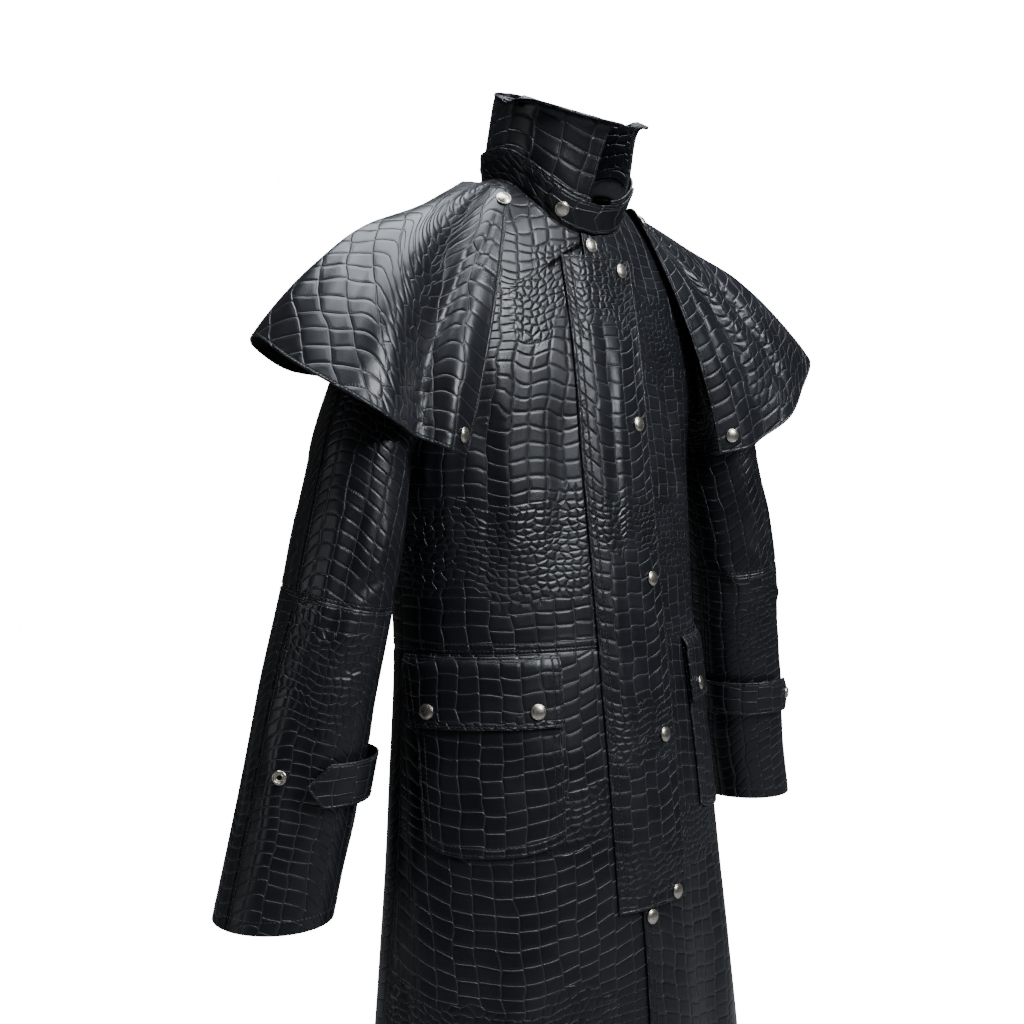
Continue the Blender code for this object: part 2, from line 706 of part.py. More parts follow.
def cape(table, along, down):
    """Outer point of one half of the cape: from its front edge to the centre back, neck to hem.

    Over the shoulder it dips between the collar and the shoulder's end."""
    rows = [(index / (len(table) - 1), *row) for index, row in enumerate(table)]
    row = smooth_row(rows, along)
    neck, middle, hem = row[0:3], row[3:6], row[6:9]
    dip = CAPE_DIP * math.sin(math.pi * min(max(down, 0.0) / CAPE_DIP_END, 1.0)) ** 2
    dip *= ease(along, *CAPE_DIP_STATIONS)
    return (neck * (1 - down) * (1 - 2 * down) + middle * 4 * down * (1 - down)
            + hem * down * (2 * down - 1) - np.array((0.0, 0.0, dip)))


def cape_normal(table, along, down, step=1e-3):
    """Outward normal of the cape. At the centre back it lies in the plane of the seam."""
    after = min(along + step, 1.0)
    before = max(after - 2 * step, 0.0)
    run = cape(table, after, down) - cape(table, before, down)
    fall = cape(table, along, down + step) - cape(table, along, down - step)
    normal = np.cross(fall, run)
    if along > 0.99:
        normal[0] = 0.0
    return normal / np.linalg.norm(normal)


def make_cape(material, columns=22, rows=6):
    seam = SEAM_GAP / 2 / CAPE_GIRTH
    for name, side, table in (("cape_right", -1, CAPE_RIGHT), ("cape_left", 1, CAPE_LEFT)):
        outer = []
        inner = []
        for down in spread(1.0, 0.0, rows):
            alongs = spread(0.0, 1.0 - seam, columns)
            outer.append([cape(table, along, down) for along in alongs])
            inner.append([cape(table, along, down) - cape_normal(table, along, down) * WALL
                          for along in alongs])
        sheet_solid(name, mirrored(outer, side), mirrored(inner, side), material)


# Pockets

def pocket_side(z):
    share = (z - POCKET_TOP) / (POCKET_BOTTOM - POCKET_TOP)
    return POCKET_SIDE_TOP + (POCKET_SIDE_BOTTOM - POCKET_SIDE_TOP) * share


def patch_grid(side_at, front, heights, lift_at, rounding, columns):
    """Grid of a patch from a front angle to a side line, its bottom corners rounded up."""
    outer = []
    inner = []
    bottom = heights[0]
    top = heights[-1]
    for z in heights:
        row = []
        under = []
        for share in spread(0.0, 1.0, columns):
            angle = math.radians(front + (side_at(z) - front) * share)
            edge = min(share, 1 - share) * 2
            height = z + rounding * (1 - edge) ** 3 * (top - z) / (top - bottom)
            lift = lift_at(angle, z)
            row.append(body_lifted(angle, height - UNDERARM, lift))
            under.append(body_lifted(angle, height - UNDERARM, lift - WALL))
        outer.append(row)
        inner.append(under)
    return outer, inner


def pocket_flap_side(z):
    share = (z - POCKET_FLAP_TOP) / (POCKET_FLAP_BOTTOM - POCKET_FLAP_TOP)
    return POCKET_FLAP_SIDE + (POCKET_SIDE_TOP - POCKET_FLAP_SIDE) * share


def pocket_flap_lift(z):
    """The flap is sewn on the skirt along its top edge and comes out over the pocket below it."""
    return SEWN_LIFT + (POCKET_FLAP_LIFT - SEWN_LIFT) * ease(z, POCKET_FLAP_TOP, POCKET_FLAP_TOP - POCKET_FLAP_SEAM)


def make_pockets(material):
    flap_heights = spread(POCKET_FLAP_BOTTOM, POCKET_FLAP_TOP - POCKET_FLAP_SEAM, 2) + [POCKET_FLAP_TOP]
    for name, side in (("right", -1), ("left", 1)):

        def under_lift(angle, side=side):
            return front_lift(body(angle, WAIST - UNDERARM)[0], side > 0)

        outer, inner = patch_grid(pocket_side, POCKET_FRONT, spread(POCKET_BOTTOM, POCKET_TOP, 5),
                                  lambda angle, z: LAYER + under_lift(angle), POCKET_ROUNDING, 8)
        sheet_solid("pocket_" + name, mirrored(outer, side), mirrored(inner, side), material)
        outer, inner = patch_grid(pocket_flap_side, POCKET_FRONT - 0.3, flap_heights,
                                  lambda angle, z: pocket_flap_lift(z) + under_lift(angle), 0.0, 9)
        sheet_solid("pocket_flap_" + name, mirrored(outer, side), mirrored(inner, side), material)


# Snaps

def turned_points(profile, centre, normal, sides):
    """Rings of a turned shape on the surface point centre, along its normal."""
    guide = np.array((0.0, 0.0, 1.0)) if abs(normal[2]) < 0.9 else np.array((0.0, 1.0, 0.0))
    first = np.cross(guide, normal)
    first = first / np.linalg.norm(first)
    second = np.cross(normal, first)
    rings = []
    for radius, height in profile:
        ring = []
        for index in range(sides):
            turn = 2 * math.pi * index / sides
            ring.append(centre + first * radius * math.cos(turn) + second * radius * math.sin(turn)
                        + normal * height)
        rings.append(ring)
    return rings


def make_cap(name, centre, normal, material):
    low = SEAM_GAP
    profile = ((CAP_RADIUS * 0.92, low), (CAP_RADIUS, low + CAP_HEIGHT * 0.35),
               (CAP_RADIUS * 0.72, low + CAP_HEIGHT * 0.92))
    rings = turned_points(profile, centre, normal, SNAP_SIDES)
    points = [point for ring in rings for point in ring]
    top = len(points)
    points.append(centre + normal * (low + CAP_HEIGHT))
    faces = [tuple(range(SNAP_SIDES - 1, -1, -1))]
    for level in range(len(rings) - 1):
        for index in range(SNAP_SIDES):
            after = (index + 1) % SNAP_SIDES
            start = level * SNAP_SIDES
            faces.append((start + index, start + after, start + SNAP_SIDES + after, start + SNAP_SIDES + index))
    start = (len(rings) - 1) * SNAP_SIDES
    for index in range(SNAP_SIDES):
        faces.append((start + index, start + (index + 1) % SNAP_SIDES, top))
    add_object(name, points, faces, material, 50.0)


def make_socket(name, centre, normal, material):
    low = SEAM_GAP
    profile = ((SOCKET_RADIUS, low), (SOCKET_RADIUS, low + SOCKET_HEIGHT * 0.6),
               (SOCKET_RADIUS * 0.75, low + SOCKET_HEIGHT), (SOCKET_HOLE, low + SOCKET_HEIGHT * 0.8),
               (SOCKET_HOLE, low))
    rings = turned_points(profile, centre, normal, SNAP_SIDES)
    points = [point for ring in rings for point in ring]
    faces = []
    for level in range(len(rings)):
        start = level * SNAP_SIDES
        following = (level + 1) % len(rings) * SNAP_SIDES
        for index in range(SNAP_SIDES):
            after = (index + 1) % SNAP_SIDES
            faces.append((start + index, start + after, following + after, following + index))
    add_object(name, points, faces, material, 50.0)


def place_on(points):
    """Centre and outward normal from a surface point and one moved out from it."""
    base, moved = points
    normal = moved - base
    return base, normal / np.linalg.norm(normal)


def on_front(x, z, lift):
    return place_on((front_at(x, z, lift), front_at(x, z, lift + 0.001)))


def on_body(angle, z, lift):
    level = z - UNDERARM
    return place_on((body_lifted(angle, level, lift), body_lifted(angle, level, lift + 0.001)))


def flip(place, side):
    factor = np.array((side, 1.0, 1.0))
    return place[0] * factor, place[1] * factor


def make_snaps(material):
    for index in range(5):
        z = FLAP_SNAP_TOP - FLAP_SNAP_PITCH * index
        place = on_front(FLAP_SNAP_X, z, flap_lift(FLAP_SNAP_X))
        make_cap("snap_flap_%d" % (index + 1), *place, material)
    for name, z in zip(("snap_front_top", "snap_front_bottom"), INNER_SNAP_HEIGHTS):
        make_cap(name, *on_front(INNER_SNAP_X, z, LAYER), material)
    angle = math.radians(THROAT_SNAP[0])
    place = place_on((lifted(collar, angle, THROAT_SNAP[1], LAYER), lifted(collar, angle, THROAT_SNAP[1], 0.01)))
    make_cap("snap_throat", *place, material)
    for name, side, table in (("right", -1, CAPE_RIGHT), ("left", 1, CAPE_LEFT)):
        for spot, (along, down) in (("top", CAPE_TOP_SNAP), ("hem", CAPE_HEM_SNAP)):
            normal = cape_normal(table, along, down)
            place = flip((cape(table, along, down) + normal * SEAM_GAP, normal), side)
            make_cap("snap_cape_%s_%s" % (spot, name), *place, material)
        for spot, degrees in zip(("front", "side"), POCKET_SNAPS):
            place = on_body(math.radians(degrees), POCKET_SNAP_Z, POCKET_FLAP_LIFT)
            make_cap("snap_pocket_%s_%s" % (spot, name), *flip(place, side), material)
        angle = math.radians(SOCKET_PLACES[name])
        place = place_on((arm(angle, SOCKET_Z), lifted(arm, angle, SOCKET_Z, 0.001)))
        make_socket("snap_socket_" + name, *flip(place, side), material)
        angle = math.radians(STRAP_TIP - STRAP_SNAP_BACK)
        lift = strap_lift(angle)
        low, high = (lift, lift + 0.001)
        if name in STRAP_SNAP_UNDER:
            low, high = (lift - WALL - STRAP_SNAP_DROP, lift - 2 * WALL)
        place = place_on((lifted(arm, angle, STRAP_Z, low), lifted(arm, angle, STRAP_Z, high)))
        make_socket("snap_strap_" + name, *flip(place, side), material)


def main():
    clear_scene()
    leather = make_material("leather", LEATHER)
    nickel = make_material("snap_metal", NICKEL)
    make_bodice(leather)
    make_skirt(leather)
    make_storm_flap(leather)
    make_collar(leather)
    make_sleeves(leather)
    make_cuff_straps(leather)
    make_cape(leather)
    make_pockets(leather)
    make_snaps(nickel)


main()
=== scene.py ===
"""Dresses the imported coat: fine leather panels with their folds, stitching, snaps, a stage and a camera.

Metres, +Z up. The wearer faces -Y, and the wearer's left is +X. Shapes are given for the left half and
mirrored by side, which is 1 for the left and -1 for the right. Angles run from the centre front.
"""
import math

import bpy
import numpy as np
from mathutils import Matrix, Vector


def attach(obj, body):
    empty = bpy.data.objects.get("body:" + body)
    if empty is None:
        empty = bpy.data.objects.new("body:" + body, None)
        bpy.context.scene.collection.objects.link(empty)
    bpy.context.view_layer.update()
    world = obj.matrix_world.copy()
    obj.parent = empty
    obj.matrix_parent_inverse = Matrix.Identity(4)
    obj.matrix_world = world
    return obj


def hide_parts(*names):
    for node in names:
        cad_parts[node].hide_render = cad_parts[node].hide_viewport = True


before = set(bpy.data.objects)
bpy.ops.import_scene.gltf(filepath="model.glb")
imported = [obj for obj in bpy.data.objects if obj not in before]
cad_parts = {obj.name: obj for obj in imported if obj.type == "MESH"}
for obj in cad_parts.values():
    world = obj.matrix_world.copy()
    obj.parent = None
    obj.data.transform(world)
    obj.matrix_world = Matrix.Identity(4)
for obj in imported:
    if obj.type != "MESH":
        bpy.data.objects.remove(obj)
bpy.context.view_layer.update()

bl_info = {
    "name": "Caped Duster Coat",
    "version": (1, 0, 0),
    "blender": (4, 5, 0),
    "location": "3D View > Sidebar > Coat",
    "description": "Makes the leather panels, stitching and snaps of a long caped coat",
    "category": "Object",
}

SIDES = (("right", -1), ("left", 1))
EDGES = ("start", "end", "bottom", "top")

# Leather and seams
WALL = 0.002
SEAM_GAP = 0.0003
LAYER_GAP = 0.0008
LAYER = WALL + LAYER_GAP
SEWN_LIFT = WALL + 0.0004
SEAM_DIP_REACH = 0.0028

# Stitch rows: insets from an edge, the row of the cuff hem, and the gap that a row leaves at an open end
FIRST_ROW = 0.0030
SECOND_ROW = 0.0095
CUFF_HEM_ROW = 0.0120
ROW_END_GAP = 0.0005

# Heights of the main lines
UNDERARM = -0.250
WAIST = -0.470
HEM = -1.270
FLOOR_DROP = 0.02
FLOOR_REACH = 14.0

# Body sections: height, half width, depth in front of Y = 0, depth behind it, Y of the widest place
SECTIONS = (
    (-1.270, 0.268, 0.196, 0.118, -0.020),
    (-1.070, 0.252, 0.180, 0.100, -0.018),
    (-0.877, 0.234, 0.163, 0.090, -0.012),
    (-0.720, 0.217, 0.147, 0.082, -0.006),
    (-0.600, 0.206, 0.135, 0.084, 0.000),
    (-0.470, 0.193, 0.119, 0.092, 0.008),
    (-0.360, 0.196, 0.105, 0.108, 0.012),
    (-0.250, 0.205, 0.091, 0.116, 0.012),
    (-0.170, 0.236, 0.080, 0.108, 0.012),
    (-0.100, 0.270, 0.067, 0.096, 0.012),
    (-0.059, 0.290, 0.0585, 0.088, 0.012),
    (0.014, 0.310, 0.040, 0.068, 0.012),
)
SHOULDER_NECK = (0.076, -0.001)
SHOULDER_TIP = (0.222, -0.074)
SHOULDER_ROUND = 0.045
SHOULDER_LEVEL = 0.9994
WIDENING = 0.085

# Levels just below the shoulder line, and the last share of the rows between the waist and the armhole
SHOULDER_NEAR = 0.995
SHOULDER_SEAM_LEVEL = 1 - SEAM_GAP * 2
CHEST_ROWS_END = 0.985

# Rough widths and lengths of panels, which set how close to an edge their extra rows and columns lie
BODY_RADIUS = 0.16
FRONT_WIDTH = 0.27
BACK_WIDTH = 0.24
SKIRT_FRONT_WIDTH = 0.30
SKIRT_BACK_WIDTH = 0.27
POCKET_WIDTH = 0.19
COLLAR_LENGTH = 0.42
TAB_LENGTH = 0.11
STRAP_LENGTH = 0.15
CAP_LENGTH = 0.2

# Armhole outline from the underarm to the shoulder: share of the way, X and Z
ARMHOLE_FRONT = (
    (0.00, 0.205, -0.250),
    (0.25, 0.188, -0.219),
    (0.50, 0.178, -0.173),
    (0.75, 0.188, -0.120),
    (1.00, 0.222, -0.074),
)
ARMHOLE_BACK = (
    (0.00, 0.205, -0.250),
    (0.25, 0.192, -0.215),
    (0.50, 0.186, -0.168),
    (0.75, 0.195, -0.115),
    (1.00, 0.222, -0.074),
)
NECKLINE_FRONT = ((0.000, -0.059), (0.030, -0.053), (0.054, -0.037), (0.070, -0.018), (0.076, -0.001))
NECKLINE_BACK = ((0.000, 0.011), (0.035, 0.007), (0.060, 0.0015), (0.076, -0.001))
NECK_SEAM = 0.001

# Fronts and the flap over their edges
RIGHT_FRONT_REACH = 0.030
LEFT_FRONT_REACH = -0.016
OVERLAP_END = 0.036
OVERLAP_FADE = 0.075
FLAP_LEFT = -0.0465
FLAP_RIGHT = 0.0475
FLAP_TOP = -0.082
FLAP_BOTTOM = -0.728
FLAP_CLIMB_END = -0.022

# Collar levels: rise above the neckline, half width, half depth, centre Y
COLLAR_LEVELS = (
    (0.000, 0.0765, 0.0635, 0.0045),
    (0.034, 0.0850, 0.0680, -0.0045),
    (0.060, 0.0845, 0.0680, -0.0125),
    (0.100, 0.0830, 0.0670, -0.0255),
)
COLLAR_BACK_SHARE = 0.72
LEAF_EDGE_HEIGHT = 0.086
LEAF_EDGE_SLOPE = 0.46
NECK_FULLNESS = 0.3
STAND_TOP = 0.034
STAND_TURN_IN = 0.006
LEAF_BOTTOM = 0.022
LEAF_TOP = 0.100
LEAF_INSET = 0.0045
STAND_FRONT = (10.0, 354.0)
LEAF_FRONT_BOTTOM = (36.0, 351.5)
LEAF_FRONT_TOP = (33.0, 365.5)
TAB_POINT = 6.0
TAB_TIP = -36.0
TAB_END = 48.0
TAB_BOTTOM = 0.003
TAB_TOP = 0.030

# Arm centre line: height, X, Y, half width across, half width front to back
ARM = (
    (-0.285, 0.2570, -0.012, 0.0450, 0.0520),
    (-0.345, 0.2690, -0.013, 0.0500, 0.0545),
    (-0.410, 0.2830, -0.012, 0.0520, 0.0560),
    (-0.500, 0.3015, -0.005, 0.0540, 0.0560),
    (-0.610, 0.3215, 0.004, 0.0540, 0.0560),
    (-0.697, 0.3410, 0.008, 0.0540, 0.0570),
)
ARM_TOP = -0.285
ELBOW = -0.410
CUFF = -0.697
ELBOW_TILT = 0.012
ELBOW_TILT_TURN = 40.0
UNDERARM_FOLD = 5 / 24
UNDERARM_TURN = 1.2
CAP_START = 0.8
CAP_END = 0.9
CAP_DOWN = (0.10, 0.0, -1.0)

# Cuff strap
STRAP_HALF = 0.0195
STRAP_Z = -0.568
STRAP_ROOT = -118.0
STRAP_TIP = 31.0
STRAP_POINT = 0.016
STRAP_RADIUS = 0.056
STRAP_STAND_OFF = 0.009
STRAP_STAND_OFF_END = -60.0
STRAP_RETURN = 0.003
STRAP_RETURN_START = -20.0

# Pockets, in degrees from the centre front round to the side
POCKET_FRONT = 28.0
POCKET_SIDE_TOP = 82.5
POCKET_SIDE_BOTTOM = 74.0
POCKET_TOP = -0.484
POCKET_BOTTOM = -0.660
POCKET_ROUNDING = 0.012
POCKET_FLAP_TOP = -0.4725
POCKET_FLAP_BOTTOM = -0.541
POCKET_FLAP_SIDE = 88.0
POCKET_FLAP_OVERHANG = 0.3
POCKET_FLAP_SEAM = 0.009
POCKET_FLAP_LIFT = 2 * LAYER + 0.001

# Cape stations from the front edge to the centre back: X, Y and Z at the neck, then half way down and at
# the hem
CAPE_NECK = (
    (0.092, -0.036, -0.020), (0.094, -0.029, -0.016), (0.095, -0.018, -0.0144), (0.096, -0.010, -0.0105),
    (0.097, -0.001, -0.009), (0.097, 0.008, -0.007), (0.096, 0.017, -0.005), (0.093, 0.028, -0.003),
    (0.086, 0.042, 0.000), (0.070, 0.058, 0.004), (0.040, 0.073, 0.008), (0.000, 0.079, 0.010),
)
CAPE_FALL = {
    -1: (
        (0.144, -0.073, -0.150, 0.186, -0.082, -0.283),
        (0.168, -0.071, -0.143, 0.214, -0.092, -0.275),
        (0.192, -0.055, -0.129, 0.241, -0.077, -0.263),
        (0.217, -0.054, -0.106, 0.282, -0.100, -0.250),
        (0.236, -0.036, -0.088, 0.322, -0.086, -0.226),
        (0.245, -0.006, -0.077, 0.341, -0.030, -0.198),
        (0.242, 0.026, -0.075, 0.337, 0.036, -0.172),
        (0.225, 0.060, -0.080, 0.310, 0.084, -0.178),
        (0.188, 0.094, -0.092, 0.252, 0.114, -0.197),
    ),
    1: (
        (0.138, -0.074, -0.150, 0.177, -0.085, -0.281),
        (0.166, -0.076, -0.145, 0.212, -0.099, -0.274),
        (0.194, -0.068, -0.134, 0.242, -0.092, -0.264),
        (0.226, -0.068, -0.116, 0.282, -0.101, -0.240),
        (0.254, -0.060, -0.100, 0.320, -0.090, -0.208),
        (0.266, -0.036, -0.083, 0.353, -0.074, -0.166),
        (0.256, 0.010, -0.073, 0.347, 0.000, -0.156),
        (0.232, 0.056, -0.078, 0.318, 0.070, -0.163),
        (0.188, 0.094, -0.092, 0.254, 0.112, -0.188),
    ),
}
CAPE_BACK_FALL = (
    (0.126, 0.120, -0.105, 0.174, 0.136, -0.204),
    (0.062, 0.130, -0.112, 0.090, 0.148, -0.224),
    (0.000, 0.131, -0.114, 0.000, 0.150, -0.234),
)
CAPE_DIP = 0.0072
CAPE_DIP_END = 0.45
CAPE_DIP_STATIONS = (0.30, 0.50)
CAPE_SEAM_SHARE = 0.0002
CAPE_NECK_RADIUS = 0.13
CAPE_TURN = 1.57

# Snap places: X and height, degrees and rise, degrees and height, or shares along and down the cape
FLAP_SNAPS = 5
FLAP_SNAP_X = 0.031
FLAP_SNAP_TOP = -0.094
FLAP_SNAP_PITCH = 0.1565
INNER_SNAP_X = -0.0055
INNER_SNAP_HEIGHTS = (-0.0700, -0.7370)
THROAT_SNAP = (-25.0, 0.0130)
POCKET_SNAPS = (36.0, 74.0)
POCKET_SNAP_Z = -0.525
CAPE_TOP_SNAP = (0.045, 0.045)
CAPE_HEM_SNAP = (0.042, 0.925)
SOCKET_PLACES = {1: 6.0, -1: 56.0}
SOCKET_Z = -0.561
STRAP_SNAP_BACK = 11.0
STRAP_SNAP_UNDER = ("right",)
SEAT_STEP = 0.001
STRAP_SNAP_DROP = 0.0008

# Folds of the body: degrees and height at each end, half width and depth. A ridge has a depth over 0.
# Degrees under 0 are on the right side, and those past 90 are behind.
BODY_FOLD_METRES = 0.0034
BODY_FOLDS = (
    (-20, -0.200, -27, -0.420, 0.016, -0.0042),
    (-33, -0.150, -38, -0.400, 0.014, 0.0024),
    (-47, -0.210, -52, -0.440, 0.013, -0.0026),
    (-59, -0.240, -62, -0.390, 0.010, 0.0018),
    (-78, -0.255, -84, -0.410, 0.0035, 0.0036),
    (-69, -0.270, -77, -0.385, 0.0035, 0.0036),
    (-74, -0.262, -80, -0.395, 0.006, -0.0030),
    (-88, -0.280, -91, -0.400, 0.007, -0.0026),
    (24, -0.170, 30, -0.330, 0.013, -0.0030),
    (36, -0.200, 44, -0.430, 0.014, 0.0026),
    (52, -0.250, 56, -0.410, 0.011, -0.0026),
    (74, -0.262, 80, -0.390, 0.006, -0.0030),
    (79, -0.262, 84, -0.400, 0.0036, 0.0032),
    (-18, -0.740, -15, -1.230, 0.026, -0.0060),
    (-38, -0.680, -34, -1.260, 0.030, 0.0060),
    (-56, -0.690, -58, -1.240, 0.026, -0.0065),
    (-76, -0.560, -72, -1.250, 0.022, 0.0060),
    (-92, -0.520, -90, -1.220, 0.018, -0.0060),
    (22, -0.760, 17, -1.240, 0.026, -0.0060),
    (43, -0.640, 38, -1.250, 0.026, 0.0075),
    (60, -0.700, 56, -1.230, 0.026, -0.0065),
    (80, -0.560, 77, -1.250, 0.022, 0.0060),
    (96, -0.540, 94, -1.240, 0.018, -0.0060),
    (118, -0.560, 114, -1.240, 0.026, 0.0062),
    (138, -0.600, 136, -1.250, 0.024, -0.0070),
    (160, -0.570, 163, -1.230, 0.026, 0.0058),
    (-116, -0.580, -113, -1.250, 0.027, 0.0060),
    (-140, -0.560, -143, -1.230, 0.025, -0.0068),
    (-161, -0.620, -158, -1.250, 0.024, 0.0060),
    (112, -0.270, 124, -0.430, 0.014, -0.0040),
    (132, -0.240, 141, -0.440, 0.016, 0.0032),
    (152, -0.210, 158, -0.430, 0.018, -0.0036),
    (-110, -0.270, -121, -0.420, 0.014, -0.0042),
    (-135, -0.250, -140, -0.445, 0.016, 0.0030),
    (-156, -0.200, -150, -0.420, 0.018, -0.0034),
)

# Folds of the storm flap: X and height at each end, half width and depth
FLAP_FOLDS = (
    (-0.012, -0.120, -0.016, -0.340, 0.0075, -0.0016),
    (0.014, -0.170, 0.010, -0.400, 0.0085, 0.0020),
    (0.034, -0.130, 0.036, -0.235, 0.0060, -0.0014),
    (-0.020, -0.380, -0.010, -0.600, 0.0080, 0.0018),
    (0.012, -0.430, 0.018, -0.640, 0.0085, -0.0018),
    (0.036, -0.430, 0.037, -0.540, 0.0050, 0.0012),
    (0.000, -0.560, -0.004, -0.715, 0.0090, 0.0016),
)

# Folds of the cape: shares along and down at each end, half width and depth, for each side
CAPE_METRES = (0.62, 0.27)
CAPE_FOLDS = {
    -1: (
        (0.150, 0.22, 0.200, 0.95, 0.0120, -0.0058),
        (0.085, 0.10, 0.110, 0.36, 0.0085, -0.0026),
        (0.090, 0.45, 0.095, 1.00, 0.0200, 0.0022),
        (0.290, 0.30, 0.300, 0.98, 0.0230, 0.0040),
        (0.400, 0.50, 0.415, 1.02, 0.0170, -0.0036),
        (0.480, 0.35, 0.500, 1.00, 0.0150, 0.0040),
        (0.600, 0.40, 0.615, 1.00, 0.0130, -0.0052),
        (0.720, 0.30, 0.735, 1.00, 0.0160, 0.0046),
        (0.860, 0.40, 0.850, 1.00, 0.0150, -0.0050),
    ),
    1: (
        (0.110, 0.20, 0.120, 0.95, 0.0130, -0.0044),
        (0.190, 0.14, 0.215, 0.90, 0.0120, 0.0040),
        (0.280, 0.30, 0.300, 0.98, 0.0110, -0.0050),
        (0.370, 0.22, 0.385, 1.00, 0.0140, 0.0036),
        (0.470, 0.40, 0.480, 1.00, 0.0120, -0.0046),
        (0.590, 0.36, 0.605, 1.00, 0.0140, 0.0044),
        (0.710, 0.32, 0.700, 1.00, 0.0140, -0.0050),
        (0.840, 0.38, 0.850, 1.00, 0.0160, 0.0048),
    ),
}

# Folds of the sleeves: degrees and height at each end, half width and depth, for each side
SLEEVE_FOLD_METRES = 0.00096
SLEEVE_FOLDS = {
    -1: (
        (20, -0.300, 35, -0.470, 0.0080, -0.0034),
        (52, -0.290, 66, -0.500, 0.0090, 0.0030),
        (96, -0.310, 84, -0.450, 0.0090, -0.0032),
        (0, -0.330, 8, -0.400, 0.0060, 0.0026),
        (-20, -0.380, 40, -0.418, 0.0060, -0.0030),
        (10, -0.432, 70, -0.452, 0.0070, 0.0026),
        (-30, -0.455, 30, -0.478, 0.0070, -0.0026),
        (36, -0.500, 30, -0.640, 0.0100, -0.0030),
        (70, -0.520, 62, -0.680, 0.0100, 0.0028),
        (110, -0.470, 100, -0.640, 0.0110, -0.0034),
        (150, -0.300, 160, -0.440, 0.0100, 0.0034),
        (190, -0.330, 175, -0.560, 0.0100, -0.0034),
        (230, -0.350, 240, -0.500, 0.0090, 0.0030),
        (150, -0.400, 215, -0.424, 0.0070, -0.0030),
        (-70, -0.390, -20, -0.440, 0.0070, -0.0030),
        (-60, -0.500, -50, -0.660, 0.0090, 0.0026),
    ),
    1: (
        (16, -0.300, 26, -0.450, 0.0080, -0.0032),
        (48, -0.300, 56, -0.480, 0.0090, 0.0030),
        (90, -0.320, 80, -0.470, 0.0090, -0.0034),
        (-24, -0.376, 34, -0.414, 0.0065, -0.0030),
        (4, -0.436, 62, -0.450, 0.0070, 0.0026),
        (-10, -0.470, 44, -0.490, 0.0080, -0.0024),
        (30, -0.520, 22, -0.650, 0.0100, 0.0028),
        (72, -0.510, 66, -0.670, 0.0110, -0.0030),
        (120, -0.460, 112, -0.650, 0.0110, 0.0032),
        (156, -0.310, 166, -0.450, 0.0100, -0.0034),
        (200, -0.340, 190, -0.560, 0.0100, 0.0034),
        (236, -0.360, 244, -0.500, 0.0090, -0.0030),
        (140, -0.404, 205, -0.426, 0.0070, -0.0028),
        (-66, -0.400, -24, -0.446, 0.0070, 0.0028),
    ),
}

# Creases of the collar stand and leaf: degrees and rise at each end, half width and depth
COLLAR_FOLD_METRES = 0.00140
STAND_FOLDS = (
    (285, 0.008, 350, 0.008, 0.0018, 0.0012),
    (300, 0.018, 352, 0.016, 0.0020, -0.0010),
    (290, 0.028, 340, 0.027, 0.0020, 0.0010),
    (250, 0.012, 282, 0.014, 0.0026, -0.0010),
    (200, 0.020, 245, 0.018, 0.0030, 0.0010),
    (120, 0.014, 170, 0.016, 0.0030, -0.0010),
    (20, 0.018, 70, 0.016, 0.0030, 0.0010),
)
LEAF_FOLDS = (
    (300, 0.050, 344, 0.058, 0.0060, -0.0014),
    (262, 0.060, 285, 0.094, 0.0060, 0.0014),
    (190, 0.045, 205, 0.095, 0.0070, -0.0016),
    (110, 0.050, 122, 0.095, 0.0070, 0.0015),
    (50, 0.050, 62, 0.092, 0.0060, -0.0014),
)

# Sewn lines down the sleeves, as columns of their grids: next to the body, and on the outer side
UNDER_SEAM = 0
OUTER_SEAM = 58

# How far rows of scales are levelled across a panel, where 1 is wholly
ROW_LEVELLING = 0.65

# Scale sizes that differ from the rest, by the start of a panel's name
TILE_SCALES = {"cape": 1.3, "sleeve": 0.85, "collar": 1.5, "throat": 1.5}

